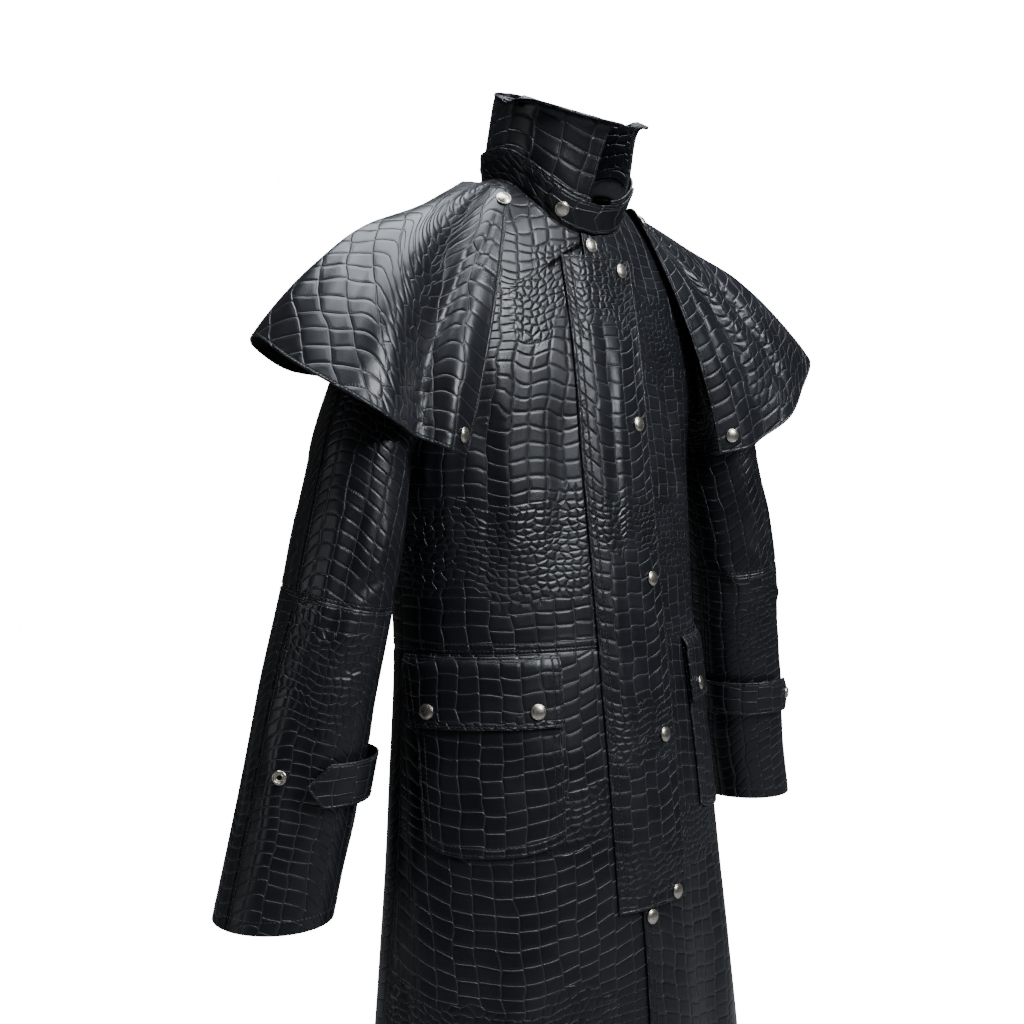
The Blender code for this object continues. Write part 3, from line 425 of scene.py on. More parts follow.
# Small-scale places of each panel, in shares across and up its grid: centre and half size
SMALL_SCALES = {
    "front_right": ((0.35, 0.20, 0.60, 0.085), (0.75, 0.235, 0.40, 0.07), (0.80, 0.70, 0.42, 0.085)),
    "front_left": ((0.40, 0.22, 0.60, 0.08), (0.75, 0.64, 0.50, 0.09)),
    "back_right": ((0.50, 0.25, 0.55, 0.08), (0.60, 0.72, 0.45, 0.09)),
    "back_left": ((0.45, 0.30, 0.50, 0.08), (0.55, 0.66, 0.50, 0.09)),
    "skirt_front_right": ((0.70, 0.80, 0.45, 0.035), (0.30, 0.55, 0.50, 0.045), (0.65, 0.28, 0.50, 0.05)),
    "skirt_front_left": ((0.55, 0.74, 0.50, 0.04), (0.50, 0.42, 0.55, 0.05), (0.40, 0.12, 0.50, 0.04)),
    "skirt_back_right": ((0.50, 0.70, 0.55, 0.045), (0.45, 0.34, 0.50, 0.05)),
    "skirt_back_left": ((0.45, 0.62, 0.55, 0.045), (0.55, 0.25, 0.50, 0.05)),
    "storm_flap": ((0.45, 0.94, 0.70, 0.055), (0.60, 0.59, 0.60, 0.045), (0.50, 0.27, 0.70, 0.045),
                   (0.40, 0.06, 0.60, 0.04)),
    "collar_stand": ((0.50, 0.50, 1.00, 1.00),),
    "collar_leaf": ((0.20, 0.40, 0.12, 0.50), (0.62, 0.50, 0.12, 0.60)),
    "sleeve_upper_right": ((0.30, 0.42, 0.22, 0.16), (0.80, 0.60, 0.18, 0.14)),
    "sleeve_upper_left": ((0.35, 0.50, 0.20, 0.16), (0.80, 0.40, 0.18, 0.14)),
    "sleeve_lower_right": ((0.36, 0.20, 0.16, 0.16), (0.75, 0.64, 0.20, 0.16)),
    "sleeve_lower_left": ((0.30, 0.26, 0.20, 0.15), (0.75, 0.60, 0.20, 0.16)),
    "cape_right": ((0.28, 0.55, 0.060, 0.42), (0.245, 0.10, 0.075, 0.22), (0.62, 0.45, 0.07, 0.35)),
    "cape_left": ((0.24, 0.50, 0.060, 0.40), (0.34, 0.20, 0.08, 0.20), (0.66, 0.55, 0.07, 0.35)),
    "pocket_right": ((0.45, 0.88, 0.70, 0.16),),
    "pocket_left": ((0.50, 0.82, 0.70, 0.16),),
    "pocket_flap_right": ((0.50, 0.05, 0.70, 0.14),),
    "pocket_flap_left": ((0.50, 0.10, 0.70, 0.16),),
}


def smooth_rows(table, values):
    """Reads a table at values of its first column, along a smooth curve through its rows."""
    rows = np.array(sorted(table), float)
    keys = rows[:, 0]
    data = rows[:, 1:]
    value = np.clip(np.asarray(values, float), keys[0], keys[-1])
    index = np.clip(np.searchsorted(keys, value) - 1, 0, len(keys) - 2)
    before = np.maximum(index - 1, 0)
    after = np.minimum(index + 2, len(keys) - 1)
    low = data[index]
    high = data[index + 1]
    span = (keys[index + 1] - keys[index])[..., None]
    slope_low = (high - data[before]) / (keys[index + 1] - keys[before])[..., None]
    slope_high = (data[after] - low) / (keys[after] - keys[index])[..., None]
    s = (value - keys[index])[..., None] / span
    return (
        low * (2 * s**3 - 3 * s**2 + 1)
        + slope_low * span * (s**3 - 2 * s**2 + s)
        + high * (3 * s**2 - 2 * s**3)
        + slope_high * span * (s**3 - s**2)
    )


def ease(value, start, end):
    """Rises from 0 at start to 1 at end with no corner."""
    s = np.clip((np.asarray(value, float) - start) / (end - start), 0.0, 1.0)
    return s * s * (3 - 2 * s)


def shoulder_height(x):
    run = np.hypot(x, SHOULDER_ROUND)
    neck_run = math.hypot(SHOULDER_NECK[0], SHOULDER_ROUND)
    tip_run = math.hypot(SHOULDER_TIP[0], SHOULDER_ROUND)
    slope = (SHOULDER_TIP[1] - SHOULDER_NECK[1]) / (tip_run - neck_run)
    return SHOULDER_NECK[1] + slope * (run - neck_run)


def roundover(share):
    return np.sqrt(np.maximum(1.0 - np.maximum(share, 0.0) ** 3, 1e-9))


def body(angle, level):
    """Outer point of the coat's left half at an angle and a level.

    A level below 0 is a height under the underarm. Above it the level runs to 1 at the shoulder line."""
    angle, level = np.broadcast_arrays(np.asarray(angle, float), np.asarray(level, float))
    below = level <= 0
    share = np.where(below, 0.0, np.sin(np.minimum(level, 1.0) * math.pi / 2))
    low_z = UNDERARM + np.minimum(level, 0.0)
    half = np.where(below, smooth_rows(SECTIONS, low_z)[..., 0],
                    smooth_rows(SECTIONS, UNDERARM)[0] + WIDENING * share)
    x = half * np.sin(angle)
    z = np.where(below, low_z, UNDERARM + (shoulder_height(x) - UNDERARM) * share)
    read = smooth_rows(SECTIONS, z)
    front, back, widest = read[..., 1], read[..., 2], read[..., 3]
    middle = (z - UNDERARM) / (shoulder_height(0.0) - UNDERARM)
    fullness = np.where(below, 1.0, roundover(share) / roundover(middle))
    depth = np.where(np.cos(angle) > 0, front + widest, back - widest)
    return np.stack((x, widest - depth * np.cos(angle) * fullness, z), -1)


def body_place(x, z, behind=False):
    """Angle and level of the body point at X and height z."""
    x, z = np.broadcast_arrays(np.asarray(x, float), np.asarray(z, float))
    share = np.clip((z - UNDERARM) / (shoulder_height(x) - UNDERARM), 0.0, 1.0)
    below = z <= UNDERARM
    level = np.where(below, z - UNDERARM, np.arcsin(share) * 2 / math.pi)
    half = np.where(below, smooth_rows(SECTIONS, z)[..., 0],
                    smooth_rows(SECTIONS, UNDERARM)[0] + WIDENING * share)
    angle = np.arcsin(np.clip(x / half, -1.0, 1.0))
    return (math.pi - angle if behind else angle), level


def outward(surface, u, v, step=1e-4):
    """Unit normals of a surface, which face away from the hollow."""
    along = surface(u + step, v) - surface(u - step, v)
    up = surface(u, v + step) - surface(u, v - step)
    normal = np.cross(along, up)
    return normal / np.maximum(np.linalg.norm(normal, axis=-1, keepdims=True), 1e-12)


def lifted(surface, u, v, lift):
    lift = np.asarray(lift, float)
    return surface(u, v) + outward(surface, u, v) * (lift[..., None] if lift.ndim else lift)


def fold_heights(folds, u, v, u_metres, v_metres=1.0):
    """Height of soft troughs and ridges at places u, v. Each runs between two ends and fades toward them."""
    u, v = np.broadcast_arrays(np.asarray(u, float) * u_metres, np.asarray(v, float) * v_metres)
    total = np.zeros(u.shape)
    for u0, v0, u1, v1, width, depth in folds:
        start = np.array((u0 * u_metres, v0 * v_metres))
        run = np.array((u1 * u_metres, v1 * v_metres)) - start
        length = math.hypot(*run)
        t = ((u - start[0]) * run[0] + (v - start[1]) * run[1]) / length**2
        near = np.clip(t, 0.0, 1.0)
        bend = 0.10 * length * np.sin(near * math.pi) * math.copysign(1.0, depth) * 0.5
        away = ((u - start[0]) * run[1] - (v - start[1]) * run[0]) / length - bend
        past = (t - near) * length
        fade = ease(near, -0.02, 0.30) * (1 - ease(near, 0.66, 1.02))
        total += depth * fade * np.exp(-(away**2 + past**2) / width**2)
    return total


def coat_body(side):
    """The body surface with its folds, in the shape of its left half."""
    def surface(angle, level):
        base = body(angle, level)
        normal = outward(body, angle, np.minimum(level, SHOULDER_LEVEL - 0.001))
        height = fold_heights(BODY_FOLDS, np.degrees(angle) * side, base[..., 2], BODY_FOLD_METRES)
        return base + normal * height[..., None]

    return surface


def on_coat(side, angle, level, lift):
    """Points of the folded body, moved out. At the shoulder line the normal is read just below it."""
    surface = coat_body(side)
    angle, level = np.broadcast_arrays(np.asarray(angle, float), np.asarray(level, float))
    lift = np.broadcast_to(np.asarray(lift, float), angle.shape)
    normal = outward(surface, angle, np.minimum(level, SHOULDER_LEVEL - 0.001))
    return surface(angle, level) + normal * lift[..., None]


def spread(start, end, count):
    return np.linspace(start, end, count + 1)


def crowded(count, length):
    """Shares from 0 to 1, with extra ones close to both edges, where leather is turned and stitched."""
    near = np.array((0.0, 0.0012, 0.0030, 0.0060, 0.0100)) / length
    middle = np.linspace(0.0, 1.0, count + 1)
    middle = middle[(middle > near[-1] * 1.3) & (middle < 1 - near[-1] * 1.3)]
    return np.concatenate((near, middle, 1 - near[::-1]))


def mirrored(points, side):
    return points * np.array((side, 1.0, 1.0))


def grid_normals(points, closed=False):
    """Normals of a grid, along its rows crossed with up its columns."""
    if closed:
        along = np.roll(points, -1, axis=1) - np.roll(points, 1, axis=1)
    else:
        along = np.gradient(points, axis=1)
    up = np.gradient(points, axis=0)
    normal = np.cross(along, up)
    return normal / np.maximum(np.linalg.norm(normal, axis=-1, keepdims=True), 1e-12)


def distance_along(points, axis):
    steps = np.linalg.norm(np.diff(points, axis=axis), axis=-1)
    pad = [(0, 0), (0, 0)]
    pad[axis] = (1, 0)
    return np.pad(np.cumsum(steps, axis=axis), pad)


# Panel meshes

def edge_distances(points, edges):
    """Distance of every grid point from the nearest of the named edges: start, end, bottom, top."""
    across = distance_along(points, 1)
    up = distance_along(points, 0)
    ways = {"start": across, "end": across[:, -1:] - across, "bottom": up, "top": up[-1:] - up}
    nearest = np.full(points.shape[:2], 0.5)
    for edge in edges:
        nearest = np.minimum(nearest, ways[edge])
    return nearest


def line_distances(points, lines):
    """Distance of every grid point from sewn lines, each a column of the grid."""
    across = distance_along(points, 1)
    nearest = np.full(points.shape[:2], 0.5)
    for column in lines:
        away = np.abs(across - across[:, column:column + 1])
        nearest = np.minimum(nearest, np.minimum(away, across[:, -1:] - away))
    return nearest


def follow(outer, inner, reach, place_of):
    """A line across a grid's rows, at the distance along each that place_of gives, and its directions."""
    line = []
    below = []
    for row, low, run in zip(outer, inner, reach):
        at = place_of(run)
        line.append([np.interp(at, run, row[:, axis]) for axis in range(3)])
        below.append([np.interp(at, run, low[:, axis]) for axis in range(3)])
    line = np.array(line)
    normal = line - np.array(below)
    return line, normal / np.linalg.norm(normal, axis=-1, keepdims=True)


def line_path(outer, inner, column, offset):
    """Points and outward directions of a line that runs beside a sewn line of a panel."""
    return follow(outer, inner, distance_along(outer, 1), lambda run: run[column] + offset)


def small_scale_share(name, shape):
    """1 where the panel shows small scales and 0 where it shows large tiles."""
    rows, columns = shape
    across = np.linspace(0.0, 1.0, columns)[None, :]
    up = np.linspace(0.0, 1.0, rows)[:, None]
    share = np.zeros(shape)
    for u, v, half_u, half_v in SMALL_SCALES.get(name, ()):
        wave = 0.25 * half_v * np.sin(across * 11.0 + v * 40.0)
        wave = wave + 0.18 * half_v * np.sin(across * 23.0 + u * 9.0)
        spot = -(np.abs(across - u) / half_u) ** 4 - (np.abs(up - v + wave) / half_v) ** 4
        share = np.maximum(share, np.exp(spot))
    return share


def add_object(name, data):
    obj = bpy.data.objects.new(name, data)
    bpy.context.scene.collection.objects.link(obj)
    return obj


def sink_seams(outer, inner, seams, lines, depth):
    """Dips the leather toward the seams and sewn lines."""
    sunk = np.minimum(edge_distances(outer, seams), line_distances(outer, lines))
    normal = grid_normals(outer)
    facing = np.sign(np.sum(normal * (outer - inner), axis=-1, keepdims=True))
    return outer - normal * (depth * np.exp(-(sunk / SEAM_DIP_REACH) ** 2))[..., None] * facing


def panel_faces(rows, columns, closed):
    """Quads between two grids: their corners as points and as grid places, and 1 for each inner quad.

    A closed grid repeats its first column as its last."""
    wrap = columns - 1 if closed else columns
    half = rows * wrap
    index = np.arange(half).reshape(rows, wrap)
    if closed:
        index = np.concatenate((index, index[:, :1]), axis=1)
    corner = np.arange(rows * columns).reshape(rows, columns)
    face, spot = (np.stack((grid[:-1, :-1], grid[:-1, 1:], grid[1:, 1:], grid[1:, :-1]), -1).reshape(-1, 4)
                  for grid in (index, corner))
    faces = [face, face[:, ::-1] + half]
    spots = [spot, spot[:, ::-1]]
    rims = [(index[0], corner[0], True), (index[-1], corner[-1], False)]
    if not closed:
        rims += [(index[:, 0], corner[:, 0], False), (index[:, -1], corner[:, -1], True)]
    for line, places, turned in rims:
        quad = np.stack((line[1:], line[:-1], line[:-1] + half, line[1:] + half), -1)
        where = np.stack((places[1:], places[:-1], places[:-1], places[1:]), -1)
        faces.append(quad if turned else quad[:, ::-1])
        spots.append(where if turned else where[:, ::-1])
    kinds = np.zeros(sum(len(part) for part in faces), np.int32)
    kinds[len(face):2 * len(face)] = 1
    return np.concatenate(faces), np.concatenate(spots), kinds


def scale_tiles(name, outer, small, cut, tiles_from_end):
    """Scale coordinates of a grid, in large tiles. Rows of scales lie closer where they are small."""
    looks = bpy.context.scene.coat_looks

    def level(heights):
        return heights * (1 - ROW_LEVELLING) + heights.mean(axis=1, keepdims=True) * ROW_LEVELLING

    steps = np.linalg.norm(np.diff(outer, axis=0), axis=-1)
    extra = steps * looks.small_scale_crowding * (small[1:] + small[:-1]) / 2
    extra = np.pad(np.cumsum(extra, axis=0), ((1, 0), (0, 0)))
    if cut is None:
        across = distance_along(outer, 1)
        if tiles_from_end:
            across = across - across[:, -1:]
        upward = level(distance_along(outer, 0))
    else:
        across, upward = cut
    upward = upward + level(extra)
    shift = sum(ord(letter) for letter in name) % 97
    size = TILE_SCALES.get(name.split("_")[0], 1.0)
    rows_up = upward / size / looks.tile_height + shift * 0.37
    return np.stack((across / size / looks.tile_width + shift, rows_up), -1)


def panel(name, outer, inner, materials, stitched=(), doubled=(), seams=(), closed=False,
          tiles_from_end=False, cut=None, lines=()):
    """A leather panel between two grids of points, with its scale coordinates and edge distances.

    Faces of the inner grid get the flesh side. The cut gives flat coordinates of the grid in metres, where
    distances along its rows and columns would shear the scales."""
    if seams:
        outer = sink_seams(outer, inner, seams, lines, bpy.context.scene.coat_looks.seam_depth)
    rows, columns = outer.shape[:2]
    wrap = columns - 1 if closed else columns
    points = np.concatenate((outer[:, :wrap].reshape(-1, 3), inner[:, :wrap].reshape(-1, 3)))
    faces, spots, kinds = panel_faces(rows, columns, closed)
    one, two, three, four = (points[faces[:, at]] for at in range(4))
    volume = np.sum(one * np.cross(two, three)) + np.sum(one * np.cross(three, four))
    if volume < 0:
        faces = faces[:, ::-1]
        spots = spots[:, ::-1]
    mesh = bpy.data.meshes.new(name)
    mesh.vertices.add(len(points))
    mesh.vertices.foreach_set("co", points.astype(np.float32).ravel())
    mesh.loops.add(faces.size)
    mesh.loops.foreach_set("vertex_index", faces.astype(np.int32).ravel())
    mesh.polygons.add(len(faces))
    mesh.polygons.foreach_set("loop_start", np.arange(0, faces.size, 4, dtype=np.int32))
    mesh.polygons.foreach_set("material_index", kinds)
    mesh.update(calc_edges=True)
    mesh.shade_smooth()
    small = small_scale_share(name, (rows, columns))
    tiles = scale_tiles(name, outer, small, cut, tiles_from_end)
    layer = mesh.uv_layers.new(name="scales")
    layer.data.foreach_set("uv", tiles.reshape(-1, 2)[spots.ravel()].astype(np.float32).ravel())
    sewn = line_distances(outer, lines)
    for title, values in (("small_scales", small),
                          ("stitched_edge", np.minimum(edge_distances(outer, stitched), sewn)),
                          ("doubled_edge", edge_distances(outer, doubled)), ("sewn_line", sewn)):
        one = values[:, :wrap].reshape(-1)
        attribute = mesh.attributes.new(title, "FLOAT", "POINT")
        attribute.data.foreach_set("value", np.concatenate((one, one)).astype(np.float32))
    for material in materials:
        mesh.materials.append(material)
    return add_object(name + "_leather", mesh)


def inset_path(outer, inner, edge, inset, trim=(0.0, 0.0)):
    """Points and outward directions of a line that follows one edge of a panel at an inset."""
    if edge in ("start", "end"):
        grids = outer, inner, distance_along(outer, 1)
    else:
        grids = (grid.swapaxes(0, 1) for grid in (outer, inner, distance_along(outer, 0)))
    line, normal = follow(*grids, lambda run: inset if edge in ("start", "bottom") else run[-1] - inset)
    run = np.concatenate(((0.0,), np.cumsum(np.linalg.norm(np.diff(line, axis=0), axis=-1))))
    ends = np.array((trim[0], run[-1] - trim[1]))
    places = np.unique(np.concatenate((run[(run >= ends[0]) & (run <= ends[1])], ends)))
    line, normal = (np.stack([np.interp(places, run, part[:, axis]) for axis in range(3)], -1)
                    for part in (line, normal))
    return line, normal / np.linalg.norm(normal, axis=-1, keepdims=True)


def edge_rows(outer, inner, edges, inset):
    """A stitch line along each of the edges, which ends where it meets the lines of the edges beside it."""
    rows = []
    for edge in EDGES:
        if edge in edges:
            beside = ("bottom", "top") if edge in ("start", "end") else ("start", "end")
            trim = [inset if other in edges else ROW_END_GAP for other in beside]
            rows.append(inset_path(outer, inner, edge, inset, trim))
    return rows


# Shapes of the pieces, as outer and inner grids in the coat's own place

def bodice_top(neckline_rows, x):
    """Height of the bodice's neck edge: just below the collar, and up at the ridge by the shoulder seam."""
    return smooth_rows(neckline_rows, abs(x))[0] - NECK_SEAM * (1 - abs(x) / SHOULDER_NECK[0])


def neck_x(angle):
    """Distance of the neckline from the centre, at an angle from the centre front or the centre back."""
    return SHOULDER_NECK[0] * np.sin(angle) * (1 + NECK_FULLNESS * np.cos(angle) ** 2)


def front_reach(side, behind=False):
    """X of a panel's centre edge, in the shape of the left half."""
    if behind:
        return 0.0
    return -RIGHT_FRONT_REACH if side < 0 else LEFT_FRONT_REACH


def edge_place(x, z, behind):
    return tuple(float(part) for part in body_place(x, z, behind))


def bodice_grid(side, behind):
    """Bodice front or back: bottom rows, then rows from the armhole to the centre edge and the neckline."""
    reach = front_reach(side, behind)
    tables = (ARMHOLE_BACK, NECKLINE_BACK, 24) if behind else (ARMHOLE_FRONT, NECKLINE_FRONT, 30)
    armhole, neckline_rows, steps = tables
    low = crowded(46, UNDERARM - WAIST)[:-1]
    low = WAIST + SEAM_GAP / 2 + (UNDERARM - WAIST) * low[low < CHEST_ROWS_END]
    ends_side = [(math.pi / 2, z - UNDERARM) for z in low]
    ends_centre = [edge_place(reach, z, behind) for z in low]
    inner = [(reach, z) for z in spread(UNDERARM, bodice_top(neckline_rows, reach), 30)]
    start = reach / (SHOULDER_NECK[0] * (1 + NECK_FULLNESS))
    inner += [(x, bodice_top(neckline_rows, x)) for x in neck_x(spread(start, math.pi / 2, steps)[1:])]
    for share, (x, z) in zip(spread(0.0, 1.0, len(inner) - 1), inner):
        ends_centre.append(edge_place(x, z, behind))
        x, z = smooth_rows(armhole, share)
        ends_side.append(edge_place(x, z, behind) if share > 0 else (math.pi / 2, 0.0))
    shares = closing_shares(44, BACK_WIDTH) if behind else crowded(44, FRONT_WIDTH)
    return body_panel(side, ends_side, ends_centre, shares, front_rise(side, behind))


def closing_shares(count, length):
    """Shares that stop half a seam's gap short of the centre back."""
    return np.minimum(crowded(count, length), 1 - SEAM_GAP / 2 / length)


def front_rise(side, behind=False):
    """The left front rides over the right front, and comes down past its edge. The others lie flat."""
    if side < 0 or behind:
        return lambda x: np.zeros(np.shape(x))
    return lambda x: LAYER * (1 - ease(x, OVERLAP_END, OVERLAP_FADE))


def body_panel(side, ends_side, ends_centre, shares, rise):
    first = np.array(ends_side)[:, None, :]
    last = np.array(ends_centre)[:, None, :]
    seam = SEAM_GAP / 2 / (np.abs(last[..., 0] - first[..., 0]) * BODY_RADIUS)
    share = np.clip(shares[None, :], seam, 1.0)
    angle = first[..., 0] + (last[..., 0] - first[..., 0]) * share
    level = first[..., 1] + (last[..., 1] - first[..., 1]) * share
    level = np.where(level > SHOULDER_NEAR, np.minimum(level, SHOULDER_SEAM_LEVEL), level)
    lift = rise(body(angle, level)[..., 0])
    outer = on_coat(side, angle, level, lift)
    inner = on_coat(side, angle, level, lift - WALL)
    return mirrored(outer, side), mirrored(inner, side), body_cut(angle, level, outer)


def body_cut(angle, level, points):
    """Flat coordinates of a bodice panel: round the chest line from the centre, and up along the leather."""
    turns = spread(-0.5, math.pi, 400)
    ring = body(turns, 0.0)
    run = np.concatenate(((0.0,), np.cumsum(np.linalg.norm(np.diff(ring, axis=0), axis=-1))))
    half = smooth_rows(SECTIONS, UNDERARM)[0]
    wider = WIDENING * np.sin(np.clip(level, 0.0, 1.0) * math.pi / 2)
    below = smooth_rows(SECTIONS, np.minimum(points[..., 2], UNDERARM))[..., 0] - half
    across = np.interp(angle, turns, run) * (1 + np.where(level > 0, wider, below) / half)
    leaning = np.abs(points[..., 1] - body(angle, 0.0)[..., 1]) * (level > 0)
    return across, points[..., 2] + 0.8 * leaning


def skirt_grid(side, behind):
    heights = HEM + (WAIST - SEAM_GAP / 2 - HEM) * crowded(130, WAIST - HEM)
    ends_side = [(math.pi / 2, z - UNDERARM) for z in heights]
    ends_centre = [edge_place(front_reach(side, behind), z, behind) for z in heights]
    shares = closing_shares(48, SKIRT_BACK_WIDTH) if behind else crowded(52, SKIRT_FRONT_WIDTH)
    return body_panel(side, ends_side, ends_centre, shares, front_rise(side, behind))[:2]


def flap_lift(x):
    """The storm flap is sewn down on the right front, then climbs over the left front's edge."""
    return SEWN_LIFT + (2 * LAYER + LAYER_GAP - SEWN_LIFT) * ease(x, FLAP_LEFT, FLAP_CLIMB_END)


def on_front(x, z, lift):
    """Points of the folded fronts at X and height z, moved out."""
    angle, level = body_place(x, z)
    return on_coat(1, angle, level, lift)


def flap_ripple(x, z):
    """Soft runs down the storm flap, which lie still along its sewn edge and under its snaps."""
    return fold_heights(FLAP_FOLDS, x, z, 1.0)


def storm_flap_grid():
    x = FLAP_LEFT + (FLAP_RIGHT - FLAP_LEFT) * crowded(36, FLAP_RIGHT - FLAP_LEFT)[None, :]
    z = FLAP_BOTTOM + (FLAP_TOP - FLAP_BOTTOM) * crowded(170, FLAP_TOP - FLAP_BOTTOM)[:, None]
    x, z = np.broadcast_arrays(x, z)
    lift = flap_lift(x) + flap_ripple(x, z)
    return on_front(x, z, lift), on_front(x, z, lift - WALL)


def neckline(angle):
    """The bodice's outer point at the neck edge, at an angle from the centre front."""
    x = neck_x(angle)
    behind = np.cos(angle) < 0
    height = np.where(behind, smooth_rows(NECKLINE_BACK, np.abs(x))[..., 0],
                      smooth_rows(NECKLINE_FRONT, np.abs(x))[..., 0])
    turn, level = body_place(x, height)
    return body(np.where(behind, math.pi - turn, turn), level)


def collar(angle, rise):
    """Outer point of the collar at an angle from the centre front, to the left, and a rise."""
    angle, rise = np.broadcast_arrays(np.asarray(angle, float), np.asarray(rise, float))
    read = smooth_rows(COLLAR_LEVELS, rise)
    half, depth, centre = read[..., 0], read[..., 1], read[..., 2]
    _, base_half, base_depth, base_centre = COLLAR_LEVELS[0]
    front_share = ((1 + np.cos(angle)) / 2) ** 2
    growth = np.stack((
        (half - base_half) * np.sin(angle),
        centre - base_centre - (depth - base_depth) * np.cos(angle),
        rise * (COLLAR_BACK_SHARE + (1 - COLLAR_BACK_SHARE) * front_share),
    ), -1)
    point = neckline(angle) + growth
    edge_height = LEAF_EDGE_HEIGHT + LEAF_EDGE_SLOPE * point[..., 1]
    point[..., 2] += (edge_height - point[..., 2]) * ease(rise, STAND_TOP, LEAF_TOP)
    return point


def collar_grid(ends_bottom, ends_top, rises, lift_at, folds, columns):
    share = ((rises - rises[0]) / (rises[-1] - rises[0]))[:, None]
    start = ends_bottom[0] + (ends_top[0] - ends_bottom[0]) * share
    end = ends_bottom[1] + (ends_top[1] - ends_bottom[1]) * share
    degrees = start + (end - start) * crowded(columns, COLLAR_LENGTH)[None, :]
    rise = np.broadcast_to(rises[:, None], degrees.shape)
    lift = lift_at(rise) + fold_heights(folds, degrees % 360.0, rise, COLLAR_FOLD_METRES)
    angle = np.radians(degrees)
    return lifted(collar, angle, rise, lift), lifted(collar, angle, rise, lift - WALL)


def stand_grid():
    rises = LAYER_GAP + (STAND_TOP - LAYER_GAP) * crowded(12, STAND_TOP - LAYER_GAP)
    outer, inner = collar_grid(STAND_FRONT, STAND_FRONT, rises, np.zeros_like, STAND_FOLDS, 150)
    inner[0, :, 2] -= STAND_TURN_IN
    return outer, inner


def leaf_grid():
    rises = LEAF_BOTTOM + (LEAF_TOP - LEAF_BOTTOM) * crowded(26, LEAF_TOP - LEAF_BOTTOM)

    def lift_at(rise):
        return -LAYER - (LEAF_INSET - LAYER) * ease(rise, LEAF_BOTTOM, STAND_TOP)

    return collar_grid(LEAF_FRONT_BOTTOM, LEAF_FRONT_TOP, rises, lift_at, LEAF_FOLDS, 130)


def tab_grid():
    middle = (TAB_TOP + TAB_BOTTOM) / 2
    rise = (TAB_BOTTOM + (TAB_TOP - TAB_BOTTOM) * crowded(14, TAB_TOP - TAB_BOTTOM))[:, None]
    retreat = TAB_POINT * np.abs(rise - middle) / (middle - TAB_BOTTOM)
    start = TAB_TIP + retreat
    degrees = start + (TAB_END - start) * crowded(56, TAB_LENGTH)[None, :]
    rise = np.broadcast_to(rise, degrees.shape)
    angle = np.radians(degrees)
    return lifted(collar, angle, rise, LAYER), lifted(collar, angle, rise, LAYER_GAP)


def arm(angle, z):
    """Outer point of the left sleeve below the cap. The angle runs from the front to the outer side."""
    angle, z = np.broadcast_arrays(np.asarray(angle, float), np.asarray(z, float))
    read = smooth_rows(ARM, z)
    x = read[..., 0] + read[..., 2] * np.sin(angle)
    return np.stack((x, read[..., 1] - read[..., 3] * np.cos(angle), z), -1)


def folded_arm(side):
    """The lower sleeve with its folds, in the shape of the left one."""
    def surface(angle, z):
        base = arm(angle, z)
        height = fold_heights(SLEEVE_FOLDS[side], (np.degrees(angle) + 90.0) % 360.0 - 90.0, base[..., 2],
                              SLEEVE_FOLD_METRES)
        return base + outward(arm, angle, z) * height[..., None]

    return surface


def armhole_loop(side, count):
    """Outer and inner armhole points at the sleeve's angles, from the underarm round the front."""
    turns = spread(0.0, 360.0, count)[:-1]
    outer = []
    inner = []
    for turn in turns:
        if turn <= 180.0:
            x, z = smooth_rows(ARMHOLE_FRONT, turn / 180.0)
            place = body_place(x, z)
        else:
            x, z = smooth_rows(ARMHOLE_BACK, (360.0 - turn) / 180.0)
            place = body_place(x, z, True)
        angle, level = (math.pi / 2, 0.0) if turn == 0.0 else place
        level = min(float(level), SHOULDER_SEAM_LEVEL)
        outer.append(on_coat(side, angle, level, 0.0))
        inner.append(on_coat(side, angle, level, -WALL))
    return np.array(outer), np.array(inner)


def elbow_height(angle):
    return ELBOW + ELBOW_TILT * np.sin(angle - math.radians(ELBOW_TILT_TURN))


def upper_sleeve_grid(side, around=120, cap_rings=44):
    """Upper sleeve from its first row at the armhole over the cap and down to the elbow seam."""
    angles = spread(0.0, 2 * math.pi, around)[:-1] - math.pi / 2
    loop, loop_inner = armhole_loop(side, around)
    tangent = np.roll(loop, -1, axis=0) - np.roll(loop, 1, axis=0)
    way = np.cross(loop - loop_inner, tangent)
    way = way / np.linalg.norm(way, axis=-1, keepdims=True)
    index = np.arange(around)
    under = np.maximum(1 - np.minimum(index, around - index) / (UNDERARM_FOLD * around), 0.0)
    way = way + under[:, None] * np.array((UNDERARM_TURN, 0.0, 0.0))
    way = way / np.linalg.norm(way, axis=-1, keepdims=True)
    end = arm(angles, ARM_TOP)
    reach = np.linalg.norm(end - loop, axis=-1, keepdims=True)
    down = np.array(CAP_DOWN)
    rows = [loop + way * SEAM_GAP]
    for share in crowded(cap_rings, CAP_LENGTH)[1:]:
        s = min(share, 1.0)
        rows.append(loop * (2 * s**3 - 3 * s**2 + 1) + way * reach * CAP_START * (s**3 - 2 * s**2 + s)
                    + end * (3 * s**2 - 2 * s**3) + down * reach * CAP_END * (s**3 - s**2))
    last = elbow_height(angles) + SEAM_GAP / 2
    for share in crowded(24, ARM_TOP - ELBOW)[4:]:
        rows.append(arm(angles, ARM_TOP + (last - ARM_TOP) * share))
    points = np.array(rows)
    points = np.concatenate((points, points[:, :1]), axis=1)
    return fold_sleeve(points, side, np.append(angles, angles[0] + 2 * math.pi), (loop_inner, way))


